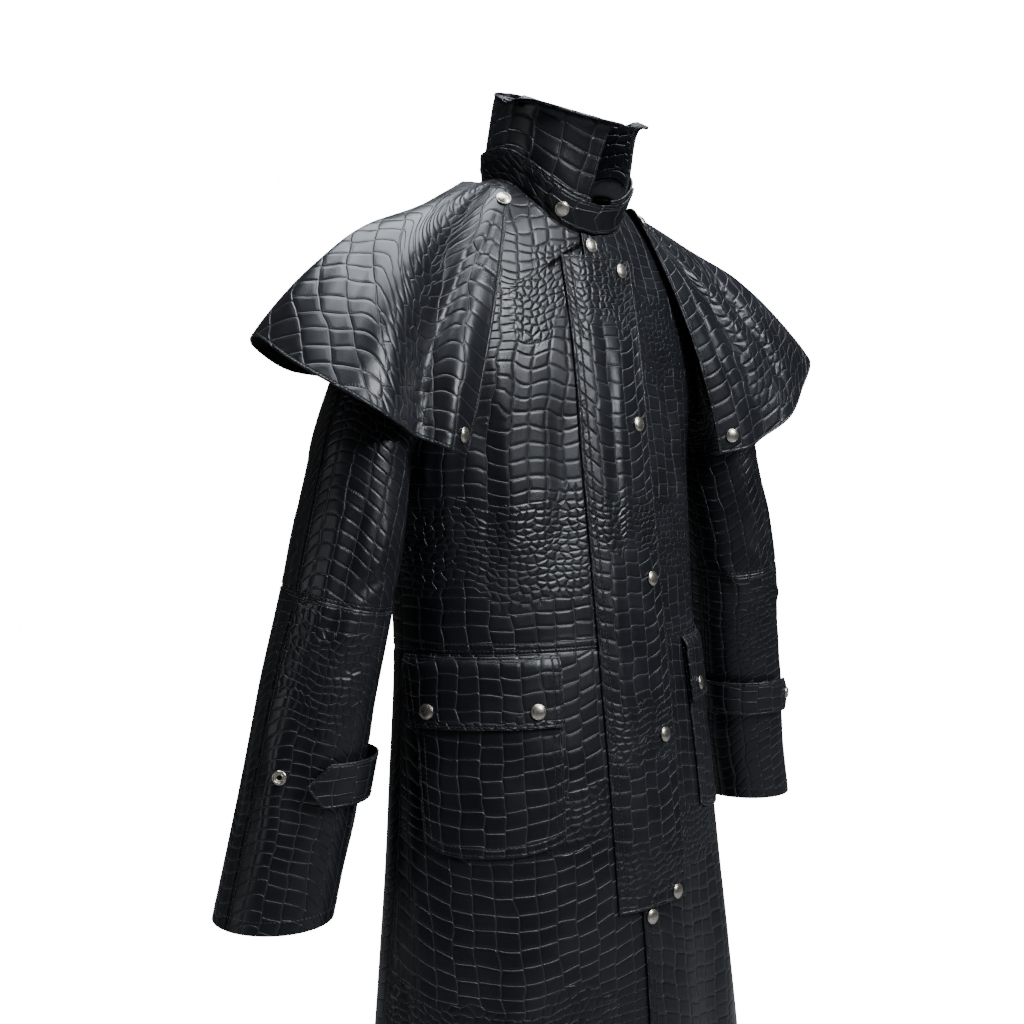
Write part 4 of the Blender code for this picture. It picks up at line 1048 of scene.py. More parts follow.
def fold_sleeve(points, side, angles, start=None):
    """Adds the sleeve's folds along its own normals and makes the wall inside it."""
    normal = -grid_normals(points, True)
    normal[:, -1] = normal[:, 0]
    degrees = (np.degrees(angles) + 90.0) % 360.0 - 90.0
    height = fold_heights(SLEEVE_FOLDS[side], degrees[None, :], points[..., 2], SLEEVE_FOLD_METRES)
    edge = distance_along(points, 0)
    height = height * ease(edge, 0.0, 0.03)
    outer = points + normal * height[..., None]
    inner_normal = -grid_normals(outer, True)
    inner_normal[:, -1] = inner_normal[:, 0]
    inner = outer - inner_normal * WALL
    if start is not None:
        loop_inner, way = start
        first = loop_inner + way * SEAM_GAP
        inner[0] = np.concatenate((first, first[:1]))
    return mirrored(outer, side), mirrored(inner, side)


def lower_sleeve_grid(side, around=120, rows=66):
    angles = spread(0.0, 2 * math.pi, around) - math.pi / 2
    start = elbow_height(angles) - SEAM_GAP / 2
    share = crowded(rows, ELBOW - CUFF)[:, None]
    z = start[None, :] + (CUFF - start)[None, :] * share
    surface = folded_arm(side)
    angle = np.broadcast_to(angles, z.shape)
    return (mirrored(lifted(surface, angle, z, 0.0), side), mirrored(lifted(surface, angle, z, -WALL), side))


def strap_lift(angle):
    """The open strap hugs the sleeve where it is sewn on and stands off along its free length."""
    turned = np.degrees(angle)
    away = STRAP_STAND_OFF * ease(turned, STRAP_ROOT, STRAP_STAND_OFF_END)
    return LAYER + away - STRAP_RETURN * ease(turned, STRAP_RETURN_START, STRAP_TIP)


def strap_grid(side):
    across = (2 * crowded(16, 2 * STRAP_HALF) - 1)[:, None]
    retreat = math.degrees(STRAP_POINT / STRAP_RADIUS) * np.abs(across)
    degrees = STRAP_ROOT + (STRAP_TIP - retreat - STRAP_ROOT) * crowded(56, STRAP_LENGTH)[None, :]
    z = np.broadcast_to(STRAP_Z + across * STRAP_HALF, degrees.shape)
    angle = np.radians(degrees)
    lift = strap_lift(angle)
    return mirrored(lifted(arm, angle, z, lift), side), mirrored(lifted(arm, angle, z, lift - WALL), side)


def cape(side, along, down):
    """Outer point of one half of the cape: from its front edge to the centre back, neck to hem."""
    along, down = np.broadcast_arrays(np.asarray(along, float), np.asarray(down, float))
    places = spread(0.0, 1.0, len(CAPE_NECK) - 1)
    falls = CAPE_FALL[side] + CAPE_BACK_FALL
    rows = [(place, *neck, *fall) for place, neck, fall in zip(places, CAPE_NECK, falls)]
    read = smooth_rows(rows, along)
    neck, middle, hem = read[..., 0:3], read[..., 3:6], read[..., 6:9]
    dip = CAPE_DIP * np.sin(math.pi * np.clip(down / CAPE_DIP_END, 0.0, 1.0)) ** 2
    dip = dip * ease(along, *CAPE_DIP_STATIONS)
    down = down[..., None]
    place = neck * (1 - down) * (1 - 2 * down) + middle * 4 * down * (1 - down) + hem * down * (2 * down - 1)
    place[..., 2] -= dip
    return place


def cape_grid(side):
    """One half of the cape with its folds. The first row is the hem and the first column the front edge."""
    along = np.minimum(crowded(120, CAPE_METRES[0]), 1 - CAPE_SEAM_SHARE)[None, :]
    down = crowded(60, CAPE_METRES[1])[::-1][:, None]
    along, down = np.broadcast_arrays(along, down)
    points = cape(side, along, down)
    normal = -grid_normals(points)
    normal[:, -1, 0] = 0.0
    normal = normal / np.linalg.norm(normal, axis=-1, keepdims=True)
    if normal[len(normal) // 2, normal.shape[1] // 2, 0] < 0:
        normal = -normal
    height = fold_heights(CAPE_FOLDS[side], along, down, *CAPE_METRES)
    height = height * ease(down, 0.0, 0.12) * (1 - ease(along, 0.93, 1.0)) * ease(along, 0.0, 0.05)
    outer = points + normal * height[..., None]
    return mirrored(outer, side), mirrored(outer - normal * WALL, side)


def sleeve_cut(outer, elbow_row):
    """Flat coordinates of a sleeve: round it from its outer seam, and along it from the elbow."""
    across = distance_along(outer, 1)
    along = distance_along(outer, 0)
    return across - across[:, OUTER_SEAM:OUTER_SEAM + 1], along - along[elbow_row]


def cape_cut(outer):
    """Flat coordinates of the cape half, a quarter of a ring cut from one hide."""
    down = distance_along(outer, 0)
    reach = CAPE_NECK_RADIUS + down[-1:] - down
    run = distance_along(outer, 1).mean(axis=0, keepdims=True)
    turn = CAPE_TURN * run / run[:, -1:]
    return reach * np.sin(turn), -reach * np.cos(turn)


def pocket_side(z):
    share = (z - POCKET_TOP) / (POCKET_BOTTOM - POCKET_TOP)
    return POCKET_SIDE_TOP + (POCKET_SIDE_BOTTOM - POCKET_SIDE_TOP) * share


def pocket_flap_side(z):
    share = (z - POCKET_FLAP_TOP) / (POCKET_FLAP_BOTTOM - POCKET_FLAP_TOP)
    return POCKET_FLAP_SIDE + (POCKET_SIDE_TOP - POCKET_FLAP_SIDE) * share


def patch(side, side_at, front, heights, lift_at, rounding):
    """A patch from a front angle to a side line, its bottom corners rounded up."""
    z = heights[:, None]
    share = crowded(38, POCKET_WIDTH)[None, :]
    degrees = front + (side_at(z) - front) * share
    edge = np.minimum(share, 1 - share) * 2
    top, bottom = heights[-1], heights[0]
    height = z + rounding * (1 - edge) ** 3 * (top - z) / (top - bottom)
    angle = np.radians(degrees)
    under = front_rise(side)(body(angle, WAIST - UNDERARM)[..., 0])
    lift = lift_at(z) + under
    level = height - UNDERARM
    return (mirrored(on_coat(side, angle, level, lift), side),
            mirrored(on_coat(side, angle, level, lift - WALL), side))


def pocket_grid(side):
    heights = POCKET_BOTTOM + (POCKET_TOP - POCKET_BOTTOM) * crowded(38, POCKET_TOP - POCKET_BOTTOM)
    return patch(side, pocket_side, POCKET_FRONT, heights, lambda z: LAYER + 0 * z, POCKET_ROUNDING)


def pocket_flap_lift(z):
    """The flap is sewn on the skirt along its top edge and comes out over the pocket below it."""
    past_seam = ease(-z, -POCKET_FLAP_TOP, POCKET_FLAP_SEAM - POCKET_FLAP_TOP)
    return SEWN_LIFT + (POCKET_FLAP_LIFT - SEWN_LIFT) * past_seam


def pocket_flap_grid(side):
    length = POCKET_FLAP_TOP - POCKET_FLAP_BOTTOM
    heights = POCKET_FLAP_BOTTOM + length * crowded(18, length)
    front = POCKET_FRONT - POCKET_FLAP_OVERHANG
    return patch(side, pocket_flap_side, front, heights, pocket_flap_lift, 0.0)


# Materials

class Nodes:
    """Adds nodes to a tree. Wherever a value may go, a socket may go too and is linked."""

    def __init__(self, tree):
        self.tree = tree

    def put(self, socket, value):
        if isinstance(value, bpy.types.NodeSocket):
            self.tree.links.new(value, socket)
        else:
            socket.default_value = value

    def new(self, kind, values=None, **settings):
        node = self.tree.nodes.new(kind)
        for name, setting in settings.items():
            setattr(node, name, setting)
        for key, value in (values or {}).items():
            self.put(node.inputs[key], value)
        return node

    def math(self, operation, *values):
        node = self.new("ShaderNodeMath", operation=operation)
        for socket, value in zip(node.inputs, values):
            self.put(socket, value)
        return node.outputs[0]

    def mul(self, first, second):
        return self.math("MULTIPLY", first, second)

    def sub(self, first, second):
        return self.math("SUBTRACT", first, second)

    def mul_add(self, first, second, third):
        return self.math("MULTIPLY_ADD", first, second, third)

    def remap(self, value, low, high, out_low=0.0, out_high=1.0):
        values = {"Value": value, "From Min": low, "From Max": high, "To Min": out_low, "To Max": out_high}
        return self.new("ShaderNodeMapRange", values, interpolation_type="SMOOTHSTEP").outputs["Result"]

    def noise(self, place, scale, detail, **settings):
        return self.new("ShaderNodeTexNoise", {"Vector": place, "Scale": scale, "Detail": detail}, **settings)

    def mix(self, share, first, second):
        values = {0: share}
        for index, colour in ((6, first), (7, second)):
            values[index] = colour if isinstance(colour, bpy.types.NodeSocket) else (*colour, 1.0)
        return self.new("ShaderNodeMix", values, data_type="RGBA").outputs[2]

    def bump(self, height, strength, distance, normal=None):
        values = {"Height": height, "Strength": strength, "Distance": distance}
        if normal is not None:
            values["Normal"] = normal
        return self.new("ShaderNodeBump", values).outputs["Normal"]

    def object_place(self):
        return self.new("ShaderNodeTexCoord").outputs["Object"]

    def group(self, group, **values):
        node = self.new("ShaderNodeGroup", node_tree=group)
        for name, value in values.items():
            self.put(node.inputs[name.replace("_", " ")], value)
        return node.outputs


def new_group(name, inputs, outputs):
    """A shader group: its builder, its input sockets and its output node.

    Inputs have names and default values, and a vector has None."""
    tree = bpy.data.node_groups.new(name, "ShaderNodeTree")
    for title, value in inputs.items():
        kind = "NodeSocketVector" if value is None else "NodeSocketFloat"
        socket = tree.interface.new_socket(title, in_out="INPUT", socket_type=kind)
        if value is not None:
            socket.default_value = value
    for title in outputs:
        tree.interface.new_socket(title, in_out="OUTPUT", socket_type="NodeSocketFloat")
    nodes = Nodes(tree)
    start = nodes.new("NodeGroupInput", location=(-1200, 0))
    return nodes, start.outputs, nodes.new("NodeGroupOutput", location=(900, 0))


def scale_embossing_group():
    """Large tiles in columns, and small rounded scales where the mask is 1, in tile coordinates."""
    nodes, start, end = new_group("scale_embossing", {"Tiles": None, "Small Scales": 0.0, "Waviness": 0.12},
                                  ("Height", "Groove", "Painted Groove Highlight", "Tint"))
    new, math_node, mul, sub, remap = nodes.new, nodes.math, nodes.mul, nodes.sub, nodes.remap
    warp = nodes.noise(start["Tiles"], 0.42, 1.5, noise_dimensions="2D")
    centred = new("ShaderNodeVectorMath", {0: warp.outputs["Color"], 1: (0.5, 0.5, 0.5)},
                  operation="SUBTRACT")
    scaled = new("ShaderNodeVectorMath", {0: centred.outputs[0], "Scale": mul(start["Waviness"], 4.0)},
                 operation="SCALE")
    moved = new("ShaderNodeVectorMath", {0: start["Tiles"], 1: scaled.outputs[0]}, operation="ADD").outputs[0]
    part_x, part_y, _ = new("ShaderNodeSeparateXYZ", {0: moved}).outputs

    def edge_of(place):
        """The share of the way across a unit cell, and the distance from its nearer edge."""
        share = math_node("FRACT", place)
        return share, sub(0.5, math_node("ABSOLUTE", sub(share, 0.5)))

    column = math_node("FLOOR", part_x)
    step = new("ShaderNodeTexWhiteNoise", {"W": column}, noise_dimensions="1D")
    row_place = math_node("ADD", part_y, mul(step.outputs["Value"], 0.45))
    across, across_edge = edge_of(part_x)
    rise, rise_edge = edge_of(row_place)
    tile_edge = math_node("SMOOTH_MIN", across_edge, rise_edge, 0.16)

    squeeze = new("ShaderNodeVectorMath", {0: moved, 1: (2.15, 1.0, 1.0)}, operation="MULTIPLY")
    cells = new("ShaderNodeTexVoronoi", {"Scale": 1.0, "Randomness": 0.62, "Vector": squeeze.outputs[0]},
                feature="DISTANCE_TO_EDGE", voronoi_dimensions="2D")
    cell_edge = cells.outputs["Distance"]

    mask = remap(start["Small Scales"], 0.35, 0.62)

    def blend_by_mask(first, second):
        return nodes.mul_add(sub(second, first), mask, first)

    groove = blend_by_mask(remap(tile_edge, 0.004, 0.050, 1.0, 0.0), remap(cell_edge, 0.005, 0.062, 1.0, 0.0))
    crown = blend_by_mask(remap(tile_edge, 0.0, 0.20), mul(remap(cell_edge, 0.0, 0.34), 1.25))

    tick_wave = math_node("FRACT", mul(part_x, 9.0))
    tick = mul(remap(tick_wave, 0.10, 0.30, 1.0, 0.0), remap(rise, 0.10, 0.26, 1.0, 0.0))
    pair = new("ShaderNodeCombineXYZ", {0: column, 1: math_node("FLOOR", row_place)})
    chance = new("ShaderNodeTexWhiteNoise", {"Vector": pair.outputs[0]}, noise_dimensions="2D")
    chance = chance.outputs["Value"]
    clear = sub(1.0, mask)
    ticks = mul(mul(tick, math_node("GREATER_THAN", chance, 0.6)), clear)

    lean_across = mul(sub(across, 0.5), sub(chance, 0.5))
    lean_up = mul(sub(rise, 0.5), sub(math_node("FRACT", mul(chance, 7.3)), 0.5))
    lean = mul(math_node("ADD", lean_across, lean_up), clear)
    grooved = nodes.mul_add(groove, -0.62, mul(crown, 0.32))
    height = nodes.mul_add(ticks, -0.12, nodes.mul_add(lean, 0.9, grooved))
    # Painted highlight: share of the groove highlight colour in each groove, weaker among the small scales
    groove_highlight_share = mul(groove, nodes.mul_add(mask, -0.6, 1.0))
    for name, value in (("Height", height), ("Groove", groove), ("Painted Groove Highlight", groove_highlight_share), ("Tint", chance)):
        nodes.put(end.inputs[name], value)


def hide_grain_group():
    """Fine pores and soft unevenness of a hide, in metres."""
    nodes, start, end = new_group("hide_grain", {"Place": None, "Pores Per Metre": 900.0},
                                  ("Height", "Cloud"))
    for name, scale, detail in (("Height", start["Pores Per Metre"], 3.0), ("Cloud", 22.0, 4.0)):
        nodes.put(end.inputs[name], nodes.noise(start["Place"], scale, detail).outputs["Fac"])


def stitched_edge_group():
    """The furrow that a stitch line presses into leather, the pucker beside it, the wear on the turned edge
    and the crease along a sewn line, whose mask also paints shade into the leather colour along the crease."""
    nodes, start, end = new_group(
        "stitched_edge", {"Place": None, "One Row": 0.5, "Two Rows": 0.5, "Sewn Line": 0.5,
                          "First Inset": FIRST_ROW, "Second Inset": SECOND_ROW},
        ("Height", "Furrow", "Wear", "Painted Crease Shade"))
    math_node, mul, remap = nodes.math, nodes.mul, nodes.remap

    def furrow(distance, inset):
        return remap(math_node("ABSOLUTE", nodes.sub(distance, inset)), 0.0, 0.0013, 1.0, 0.0)

    two_rows = start["Two Rows"]
    nearest = math_node("MINIMUM", start["One Row"], two_rows)
    first = furrow(nearest, start["First Inset"])
    lines = math_node("MAXIMUM", first, furrow(two_rows, start["Second Inset"]))
    pucker = nodes.noise(start["Place"], 170.0, 1.0)
    close = math_node("MAXIMUM", remap(nearest, 0.0, 0.010, 1.0, 0.0),
                      remap(two_rows, 0.004, 0.018, 1.0, 0.0))
    raised = mul(mul(pucker.outputs["Fac"], close), 0.9)
    crease = remap(start["Sewn Line"], 0.0004, 0.0020, 1.0, 0.0)
    height = nodes.mul_add(crease, -2.6, nodes.mul_add(lines, -0.6, raised))
    rub = nodes.noise(start["Place"], 60.0, 5.0)
    wear = mul(remap(nearest, 0.0, 0.0016, 1.0, 0.0), remap(rub.outputs["Fac"], 0.42, 0.66))
    wear = mul(wear, nodes.sub(1.0, crease))
    for name, value in (("Height", height), ("Furrow", lines), ("Wear", wear), ("Painted Crease Shade", crease)):
        nodes.put(end.inputs[name], value)


def new_material(name):
    """A material, the builder of its tree and the input sockets of its shader."""
    material = bpy.data.materials.new(name)
    material.use_nodes = True
    return material, Nodes(material.node_tree), material.node_tree.nodes["Principled BSDF"].inputs


def brighter(colour, factor):
    return tuple(part * factor for part in colour)


def embossed_leather_material():
    """Black grain leather with the embossed scales, stitch furrows and rubbed edges, a painted highlight in
    the scale grooves and painted shade in the sewn-line creases.
    """
    looks = bpy.context.scene.coat_looks
    material, nodes, shader = new_material("embossed_leather")
    mul, mix = nodes.mul, nodes.mix

    def read(name):
        return nodes.new("ShaderNodeAttribute", attribute_name=name).outputs["Fac"]

    groups = bpy.data.node_groups
    place = nodes.object_place()
    uv = nodes.new("ShaderNodeUVMap", uv_map="scales").outputs[0]
    scales = nodes.group(groups["scale_embossing"], Tiles=uv, Small_Scales=read("small_scales"))
    grain = nodes.group(groups["hide_grain"], Place=place)
    edge = nodes.group(groups["stitched_edge"], Place=place, One_Row=read("stitched_edge"),
                       Two_Rows=read("doubled_edge"), Sewn_Line=read("sewn_line"))

    dark = tuple(looks.leather_colour)
    colour = mix(mul(scales["Tint"], 0.30), dark, brighter(dark, 1.9))
    cloudy = nodes.remap(grain["Cloud"], 0.35, 0.75)
    colour = mix(mul(cloudy, 0.35), colour, brighter(dark, 2.0))
    # Painted highlight: pales the scale grooves toward the groove highlight colour
    colour = mix(mul(scales["Painted Groove Highlight"], 0.75), colour, tuple(looks.groove_highlight_colour))
    colour = mix(mul(edge["Wear"], 0.6), colour, tuple(looks.wear_colour))
    # Painted shade: darkens the leather colour along the sewn-line crease
    nodes.put(shader["Base Color"], mix(mul(edge["Painted Crease Shade"], 0.85), colour, brighter(dark, 0.15)))

    rough = looks.leather_roughness
    rough = nodes.remap(grain["Cloud"], 0.30, 0.70, rough - 0.05, rough + 0.07)
    rough = nodes.mul_add(scales["Groove"], 0.12, rough)
    nodes.put(shader["Roughness"], nodes.mul_add(edge["Furrow"], 0.10, rough))

    normal = nodes.bump(scales["Height"], looks.emboss_strength, looks.emboss_depth)
    normal = nodes.bump(edge["Height"], 0.8, 0.0010, normal)
    nodes.put(shader["Normal"], nodes.bump(grain["Height"], 0.55, 0.00022, normal))
    nodes.put(shader["Specular IOR Level"], 0.5)
    return material


def flesh_side_material():
    """The matt inner side of the leather."""
    dark = tuple(bpy.context.scene.coat_looks.flesh_colour)
    material, nodes, shader = new_material("leather_flesh_side")
    grain = nodes.group(bpy.data.node_groups["hide_grain"], Place=nodes.object_place(), Pores_Per_Metre=520.0)
    cloudy = nodes.remap(grain["Cloud"], 0.3, 0.7)
    nodes.put(shader["Base Color"], nodes.mix(cloudy, dark, brighter(dark, 1.7)))
    nodes.put(shader["Roughness"], nodes.remap(grain["Height"], 0.3, 0.7, 0.82, 0.96))
    nodes.put(shader["Normal"], nodes.bump(grain["Height"], 0.6, 0.0004))
    return material


def thread_material():
    dark = tuple(bpy.context.scene.coat_looks.thread_colour)
    material, nodes, shader = new_material("waxed_thread")
    twist = nodes.new("ShaderNodeTexWave", {"Scale": 420.0, "Vector": nodes.object_place()},
                      bands_direction="DIAGONAL").outputs["Fac"]
    nodes.put(shader["Base Color"], nodes.mix(twist, dark, brighter(dark, 2.2)))
    nodes.put(shader["Roughness"], nodes.remap(twist, 0.0, 1.0, 0.45, 0.62))
    return material


def snap_metal_material():
    """Nickel plate with fine turning marks and a few dull spots."""
    red, green, blue = bpy.context.scene.coat_looks.snap_colour
    material, nodes, shader = new_material("nickel_plate")
    place = nodes.object_place()
    marks = nodes.noise(place, 700.0, 3.0).outputs["Fac"]
    worn = nodes.remap(nodes.noise(place, 140.0, 4.0).outputs["Fac"], 0.50, 0.85)
    dull = (red * 0.80, green * 0.74, blue * 0.62)
    nodes.put(shader["Base Color"], nodes.mix(worn, (red, green, blue), dull))
    nodes.put(shader["Metallic"], 1.0)
    nodes.put(shader["Roughness"], nodes.remap(marks, 0.3, 0.7, 0.26, 0.34))
    nodes.put(shader["Normal"], nodes.bump(marks, 0.08, 0.0001))
    return material


def leather_pair():
    """The leather's two materials, which are made with their groups when they are first asked for."""
    if "hide_grain" not in bpy.data.node_groups:
        for make in (hide_grain_group, scale_embossing_group, stitched_edge_group, embossed_leather_material,
                     flesh_side_material):
            make()
    return bpy.data.materials["embossed_leather"], bpy.data.materials["leather_flesh_side"]


# Repeated pieces from Geometry Nodes

def geometry_tree(name, **inputs):
    """A geometry tree: its builder, its input sockets and its output node. Inputs have names and kinds."""
    tree = bpy.data.node_groups.new(name, "GeometryNodeTree")
    for way in ("INPUT", "OUTPUT"):
        tree.interface.new_socket("Geometry", in_out=way, socket_type="NodeSocketGeometry")
    for title, kind in inputs.items():
        tree.interface.new_socket(title, in_out="INPUT", socket_type="NodeSocket" + kind)
    nodes = Nodes(tree)
    start = nodes.new("NodeGroupInput", location=(-900, 0))
    return nodes, start.outputs, nodes.new("NodeGroupOutput", location=(900, 0))


def facing_rotation(nodes, along=None):
    """A rotation whose Z leans to each point's outward direction, and whose X follows a vector if given."""
    facing = nodes.new("GeometryNodeInputNamedAttribute", {"Name": "facing"}, data_type="FLOAT_VECTOR")
    values = {"Vector": facing.outputs["Attribute"]}
    if along is not None:
        first = nodes.new("FunctionNodeAlignRotationToVector", {"Vector": along}, axis="X")
        values["Rotation"] = first.outputs[0]
    pivot = "AUTO" if along is None else "X"
    return nodes.new("FunctionNodeAlignRotationToVector", values, axis="Z", pivot_axis=pivot).outputs[0]


def place_on_points(nodes, end, points, piece, rotation, material):
    """Puts a copy of a piece on every point, as one smooth mesh in its material."""
    values = {"Points": points, "Instance": piece, "Rotation": rotation}
    placed = nodes.new("GeometryNodeInstanceOnPoints", values)
    real = nodes.new("GeometryNodeRealizeInstances", {0: placed.outputs[0]})
    smooth = nodes.new("GeometryNodeSetShadeSmooth", {0: real.outputs[0]})
    coated = nodes.new("GeometryNodeSetMaterial", {"Geometry": smooth.outputs[0], "Material": material})
    nodes.put(end.inputs[0], coated.outputs[0])


def stitch_tree():
    """Stitches at an even pitch along every line of a mesh, lying flat on the leather."""
    nodes, start, end = geometry_tree("stitch_rows", Pitch="Float", Length="Float", Thickness="Float",
                                      Thread="Material")
    new = nodes.new
    curve = new("GeometryNodeMeshToCurve", {"Mesh": start["Geometry"]})
    even = new("GeometryNodeResampleCurve", {"Curve": curve.outputs[0], "Length": start["Pitch"]},
               mode="LENGTH")
    stitch = new("GeometryNodeMeshUVSphere", {"Segments": 6, "Rings": 4, "Radius": 0.5})
    turned = new("GeometryNodeTransform", {"Geometry": stitch.outputs["Mesh"],
                                           "Rotation": (0.0, math.pi / 2, 0.0)})
    thick = start["Thickness"]
    size = new("ShaderNodeCombineXYZ", {0: start["Length"], 1: thick, 2: thick})
    shaped = new("GeometryNodeTransform", {"Geometry": turned.outputs[0], "Scale": size.outputs[0]})
    rotation = facing_rotation(nodes, new("GeometryNodeInputTangent").outputs[0])
    place_on_points(nodes, end, even.outputs[0], shaped.outputs[0], rotation, start["Thread"])
    return nodes.tree


def wire_ring(nodes, radius, thickness):
    """A round ring of wire about Z."""
    circle, profile = (
        nodes.new("GeometryNodeCurvePrimitiveCircle", {"Resolution": corners, "Radius": size}, mode="RADIUS")
        for corners, size in ((28, radius), (8, thickness)))
    values = {"Curve": circle.outputs[0], "Profile Curve": profile.outputs[0]}
    return nodes.new("GeometryNodeCurveToMesh", values).outputs[0]


def snap_tree(name, is_socket):
    """A snap on every point: a domed cap with a rolled rim, or a ring socket round an open hole."""
    nodes, start, end = geometry_tree(name, Radius="Float", Height="Float", Metal="Material")
    new = nodes.new

    def ring(radius_share, height_share):
        thickness = nodes.mul(start["Height"], height_share)
        return wire_ring(nodes, nodes.mul(start["Radius"], radius_share), thickness)

    if is_socket:
        parts = (ring(0.80, 0.62), ring(0.50, 0.42))
    else:
        dome = new("GeometryNodeMeshUVSphere", {"Segments": 28, "Rings": 12, "Radius": 1.0})
        half = nodes.mul(start["Radius"], 0.93)
        size = new("ShaderNodeCombineXYZ", {0: half, 1: half, 2: nodes.mul(start["Height"], 0.80)})
        shaped = new("GeometryNodeTransform", {"Geometry": dome.outputs["Mesh"], "Scale": size.outputs[0]})
        parts = (ring(0.90, 0.30), shaped.outputs[0])
    whole = new("GeometryNodeJoinGeometry")
    for part in parts:
        nodes.put(whole.inputs[0], part)
    lift = new("ShaderNodeCombineXYZ", {2: nodes.mul(start["Height"], 0.40)})
    raised = new("GeometryNodeTransform", {"Geometry": whole.outputs[0], "Translation": lift.outputs[0]})
    points = new("GeometryNodeMeshToPoints", {"Mesh": start["Geometry"]})
    place_on_points(nodes, end, points.outputs[0], raised.outputs[0], facing_rotation(nodes), start["Metal"])
    return nodes.tree


def from_tree(name, tree, points, edges, facing, **inputs):
    """Runs a Geometry Nodes tree on points and edges, and keeps its result as a plain mesh."""
    mesh = bpy.data.meshes.new(name)
    mesh.from_pydata([tuple(point) for point in points], edges, [])
    attribute = mesh.attributes.new("facing", "FLOAT_VECTOR", "POINT")
    attribute.data.foreach_set("vector", np.asarray(facing, np.float32).ravel())
    obj = add_object(name, mesh)
    modifier = obj.modifiers.new("make", "NODES")
    modifier.node_group = tree
    names = {item.name: item.identifier for item in tree.interface.items_tree if item.in_out == "INPUT"}
    for title, value in inputs.items():
        modifier[names[title]] = value
    bpy.context.view_layer.update()
    result = obj.evaluated_get(bpy.context.evaluated_depsgraph_get())
    made = bpy.data.meshes.new_from_object(result)
    made.name = name
    obj.modifiers.clear()
    obj.data = made
    if not len(made.polygons):
        raise RuntimeError(name + " came out empty")
    return obj


def sew(name, lines):
    """Stitches along lines, each a pair of points and outward directions, just above the leather."""
    looks = bpy.context.scene.coat_looks
    thread = bpy.data.materials.get("waxed_thread") or thread_material()
    tree = bpy.data.node_groups.get("stitch_rows") or stitch_tree()
    points = []
    facing = []
    edges = []
    for line, normal in lines:
        first = len(points)
        points.extend(line + normal * looks.thread_thickness * 0.1)
        facing.extend(normal)
        edges.extend((first + index, first + index + 1) for index in range(len(line) - 1))
    obj = from_tree(name, tree, points, edges, facing, Pitch=looks.stitch_pitch, Length=looks.stitch_length,
                    Thickness=looks.thread_thickness, Thread=thread)
    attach(obj, "root")


def finish_panel(name, grids, rests_on, held="hung", faced=False, rows=None, **settings):
    """Makes a panel, lets it stand for its solid, lays its scales by its flat cut where one is given and
    returns its stitch lines.

    A faced panel is embossed on both sides. Stitched and doubled edges get a row unless rows names others,
    and doubled ones get a second row."""
    outer, inner = grids
    embossed, flesh = leather_pair()
    obj = panel(name, outer, inner, (embossed, embossed if faced else flesh), **settings)
    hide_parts(name)
    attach(obj, "root")
    doubled = settings.get("doubled", ())
    if rows is None:
        rows = settings.get("stitched", ()) + doubled
    return edge_rows(outer, inner, rows, FIRST_ROW) + edge_rows(outer, inner, doubled, SECOND_ROW)


# Sizes and colours that a user may change

def colour_choice(name, description, *colour):
    return bpy.props.FloatVectorProperty(name=name, description=description, subtype="COLOR", size=3, min=0.0,
                                         max=1.0, default=colour)


def length_choice(name, description, length):
    return bpy.props.FloatProperty(name=name, description=description, unit="LENGTH", default=length)


def share_choice(name, description, share):
    return bpy.props.FloatProperty(name=name, description=description, subtype="FACTOR", min=0.0, max=1.0,
                                   default=share)


def power_choice(name, description, power):
    return bpy.props.FloatProperty(name=name, description=description, subtype="POWER", default=power)


def number_choice(name, description, number):
    return bpy.props.FloatProperty(name=name, description=description, default=number)


class CoatLooks(bpy.types.PropertyGroup):
    """Leather, thread and snaps."""
    leather_colour: colour_choice("Leather Colour", "Colour of the leather's embossed side",
                                  0.0075, 0.0083, 0.0105)
    # Painted highlight: the pale groove colour stands in for light caught on the groove walls
    groove_highlight_colour: colour_choice("Groove Highlight Colour", "Colour in the grooves between scales", 0.044, 0.047, 0.053)
    wear_colour: colour_choice("Rubbed Edge Colour", "Colour where turned edges are rubbed",
                               0.070, 0.070, 0.074)
    flesh_colour: colour_choice("Flesh Side Colour", "Colour of the leather's inner side",
                                0.010, 0.010, 0.011)
    thread_colour: colour_choice("Thread Colour", "Colour of the stitching", 0.032, 0.032, 0.034)
    snap_colour: colour_choice("Snap Colour", "Colour of the plated snaps", 0.80, 0.745, 0.64)
    leather_roughness: share_choice("Leather Roughness", "Mean roughness of the embossed side", 0.32)
    emboss_strength: share_choice("Embossing Strength", "How strongly the scales catch the light", 0.85)
    emboss_depth: length_choice("Embossing Depth", "Depth of the scale grooves", 0.0012)
    tile_width: length_choice("Tile Width", "Width of the large scales", 0.0205)
    tile_height: length_choice("Tile Height", "Height of the large scales", 0.0160)
    small_scale_crowding: number_choice(
        "Small Scale Crowding", "How much closer the rows lie where scales are small", 1.5)
    seam_depth: length_choice("Seam Depth", "How far leather dips into a sewn seam", 0.0009)
    stitch_pitch: length_choice("Stitch Pitch", "Distance from stitch to stitch", 0.0040)
    stitch_length: length_choice("Stitch Length", "Length of one stitch", 0.0030)
    thread_thickness: length_choice("Thread Thickness", "Thickness of the thread", 0.0007)
    snap_radius: length_choice("Snap Radius", "Radius of a snap cap", 0.0075)
    snap_height: length_choice("Snap Height", "Height of a snap cap", 0.0028)
    socket_radius: length_choice("Socket Radius", "Radius of a snap socket", 0.0065)
    socket_height: length_choice("Socket Height", "Height of a snap socket", 0.0022)


class StageLooks(bpy.types.PropertyGroup):
    """Lights and floor."""
    key_power: power_choice("Key Light", "Power of the large overhead softbox", 90.0)
    front_power: power_choice("Front Light", "Power of the soft front light", 58.0)
    rim_power: power_choice("Side Light", "Power of the low side light", 4.0)
    floor_colour: colour_choice("Floor Colour", "Colour of the plain floor", 0.90, 0.90, 0.90)
    backdrop_strength: number_choice("Backdrop Brightness", "How bright the empty background is", 16.0)
    ambient_strength: number_choice("Room Light", "How much the room lights the coat", 0.05)


# One operator for each piece or group of like pieces

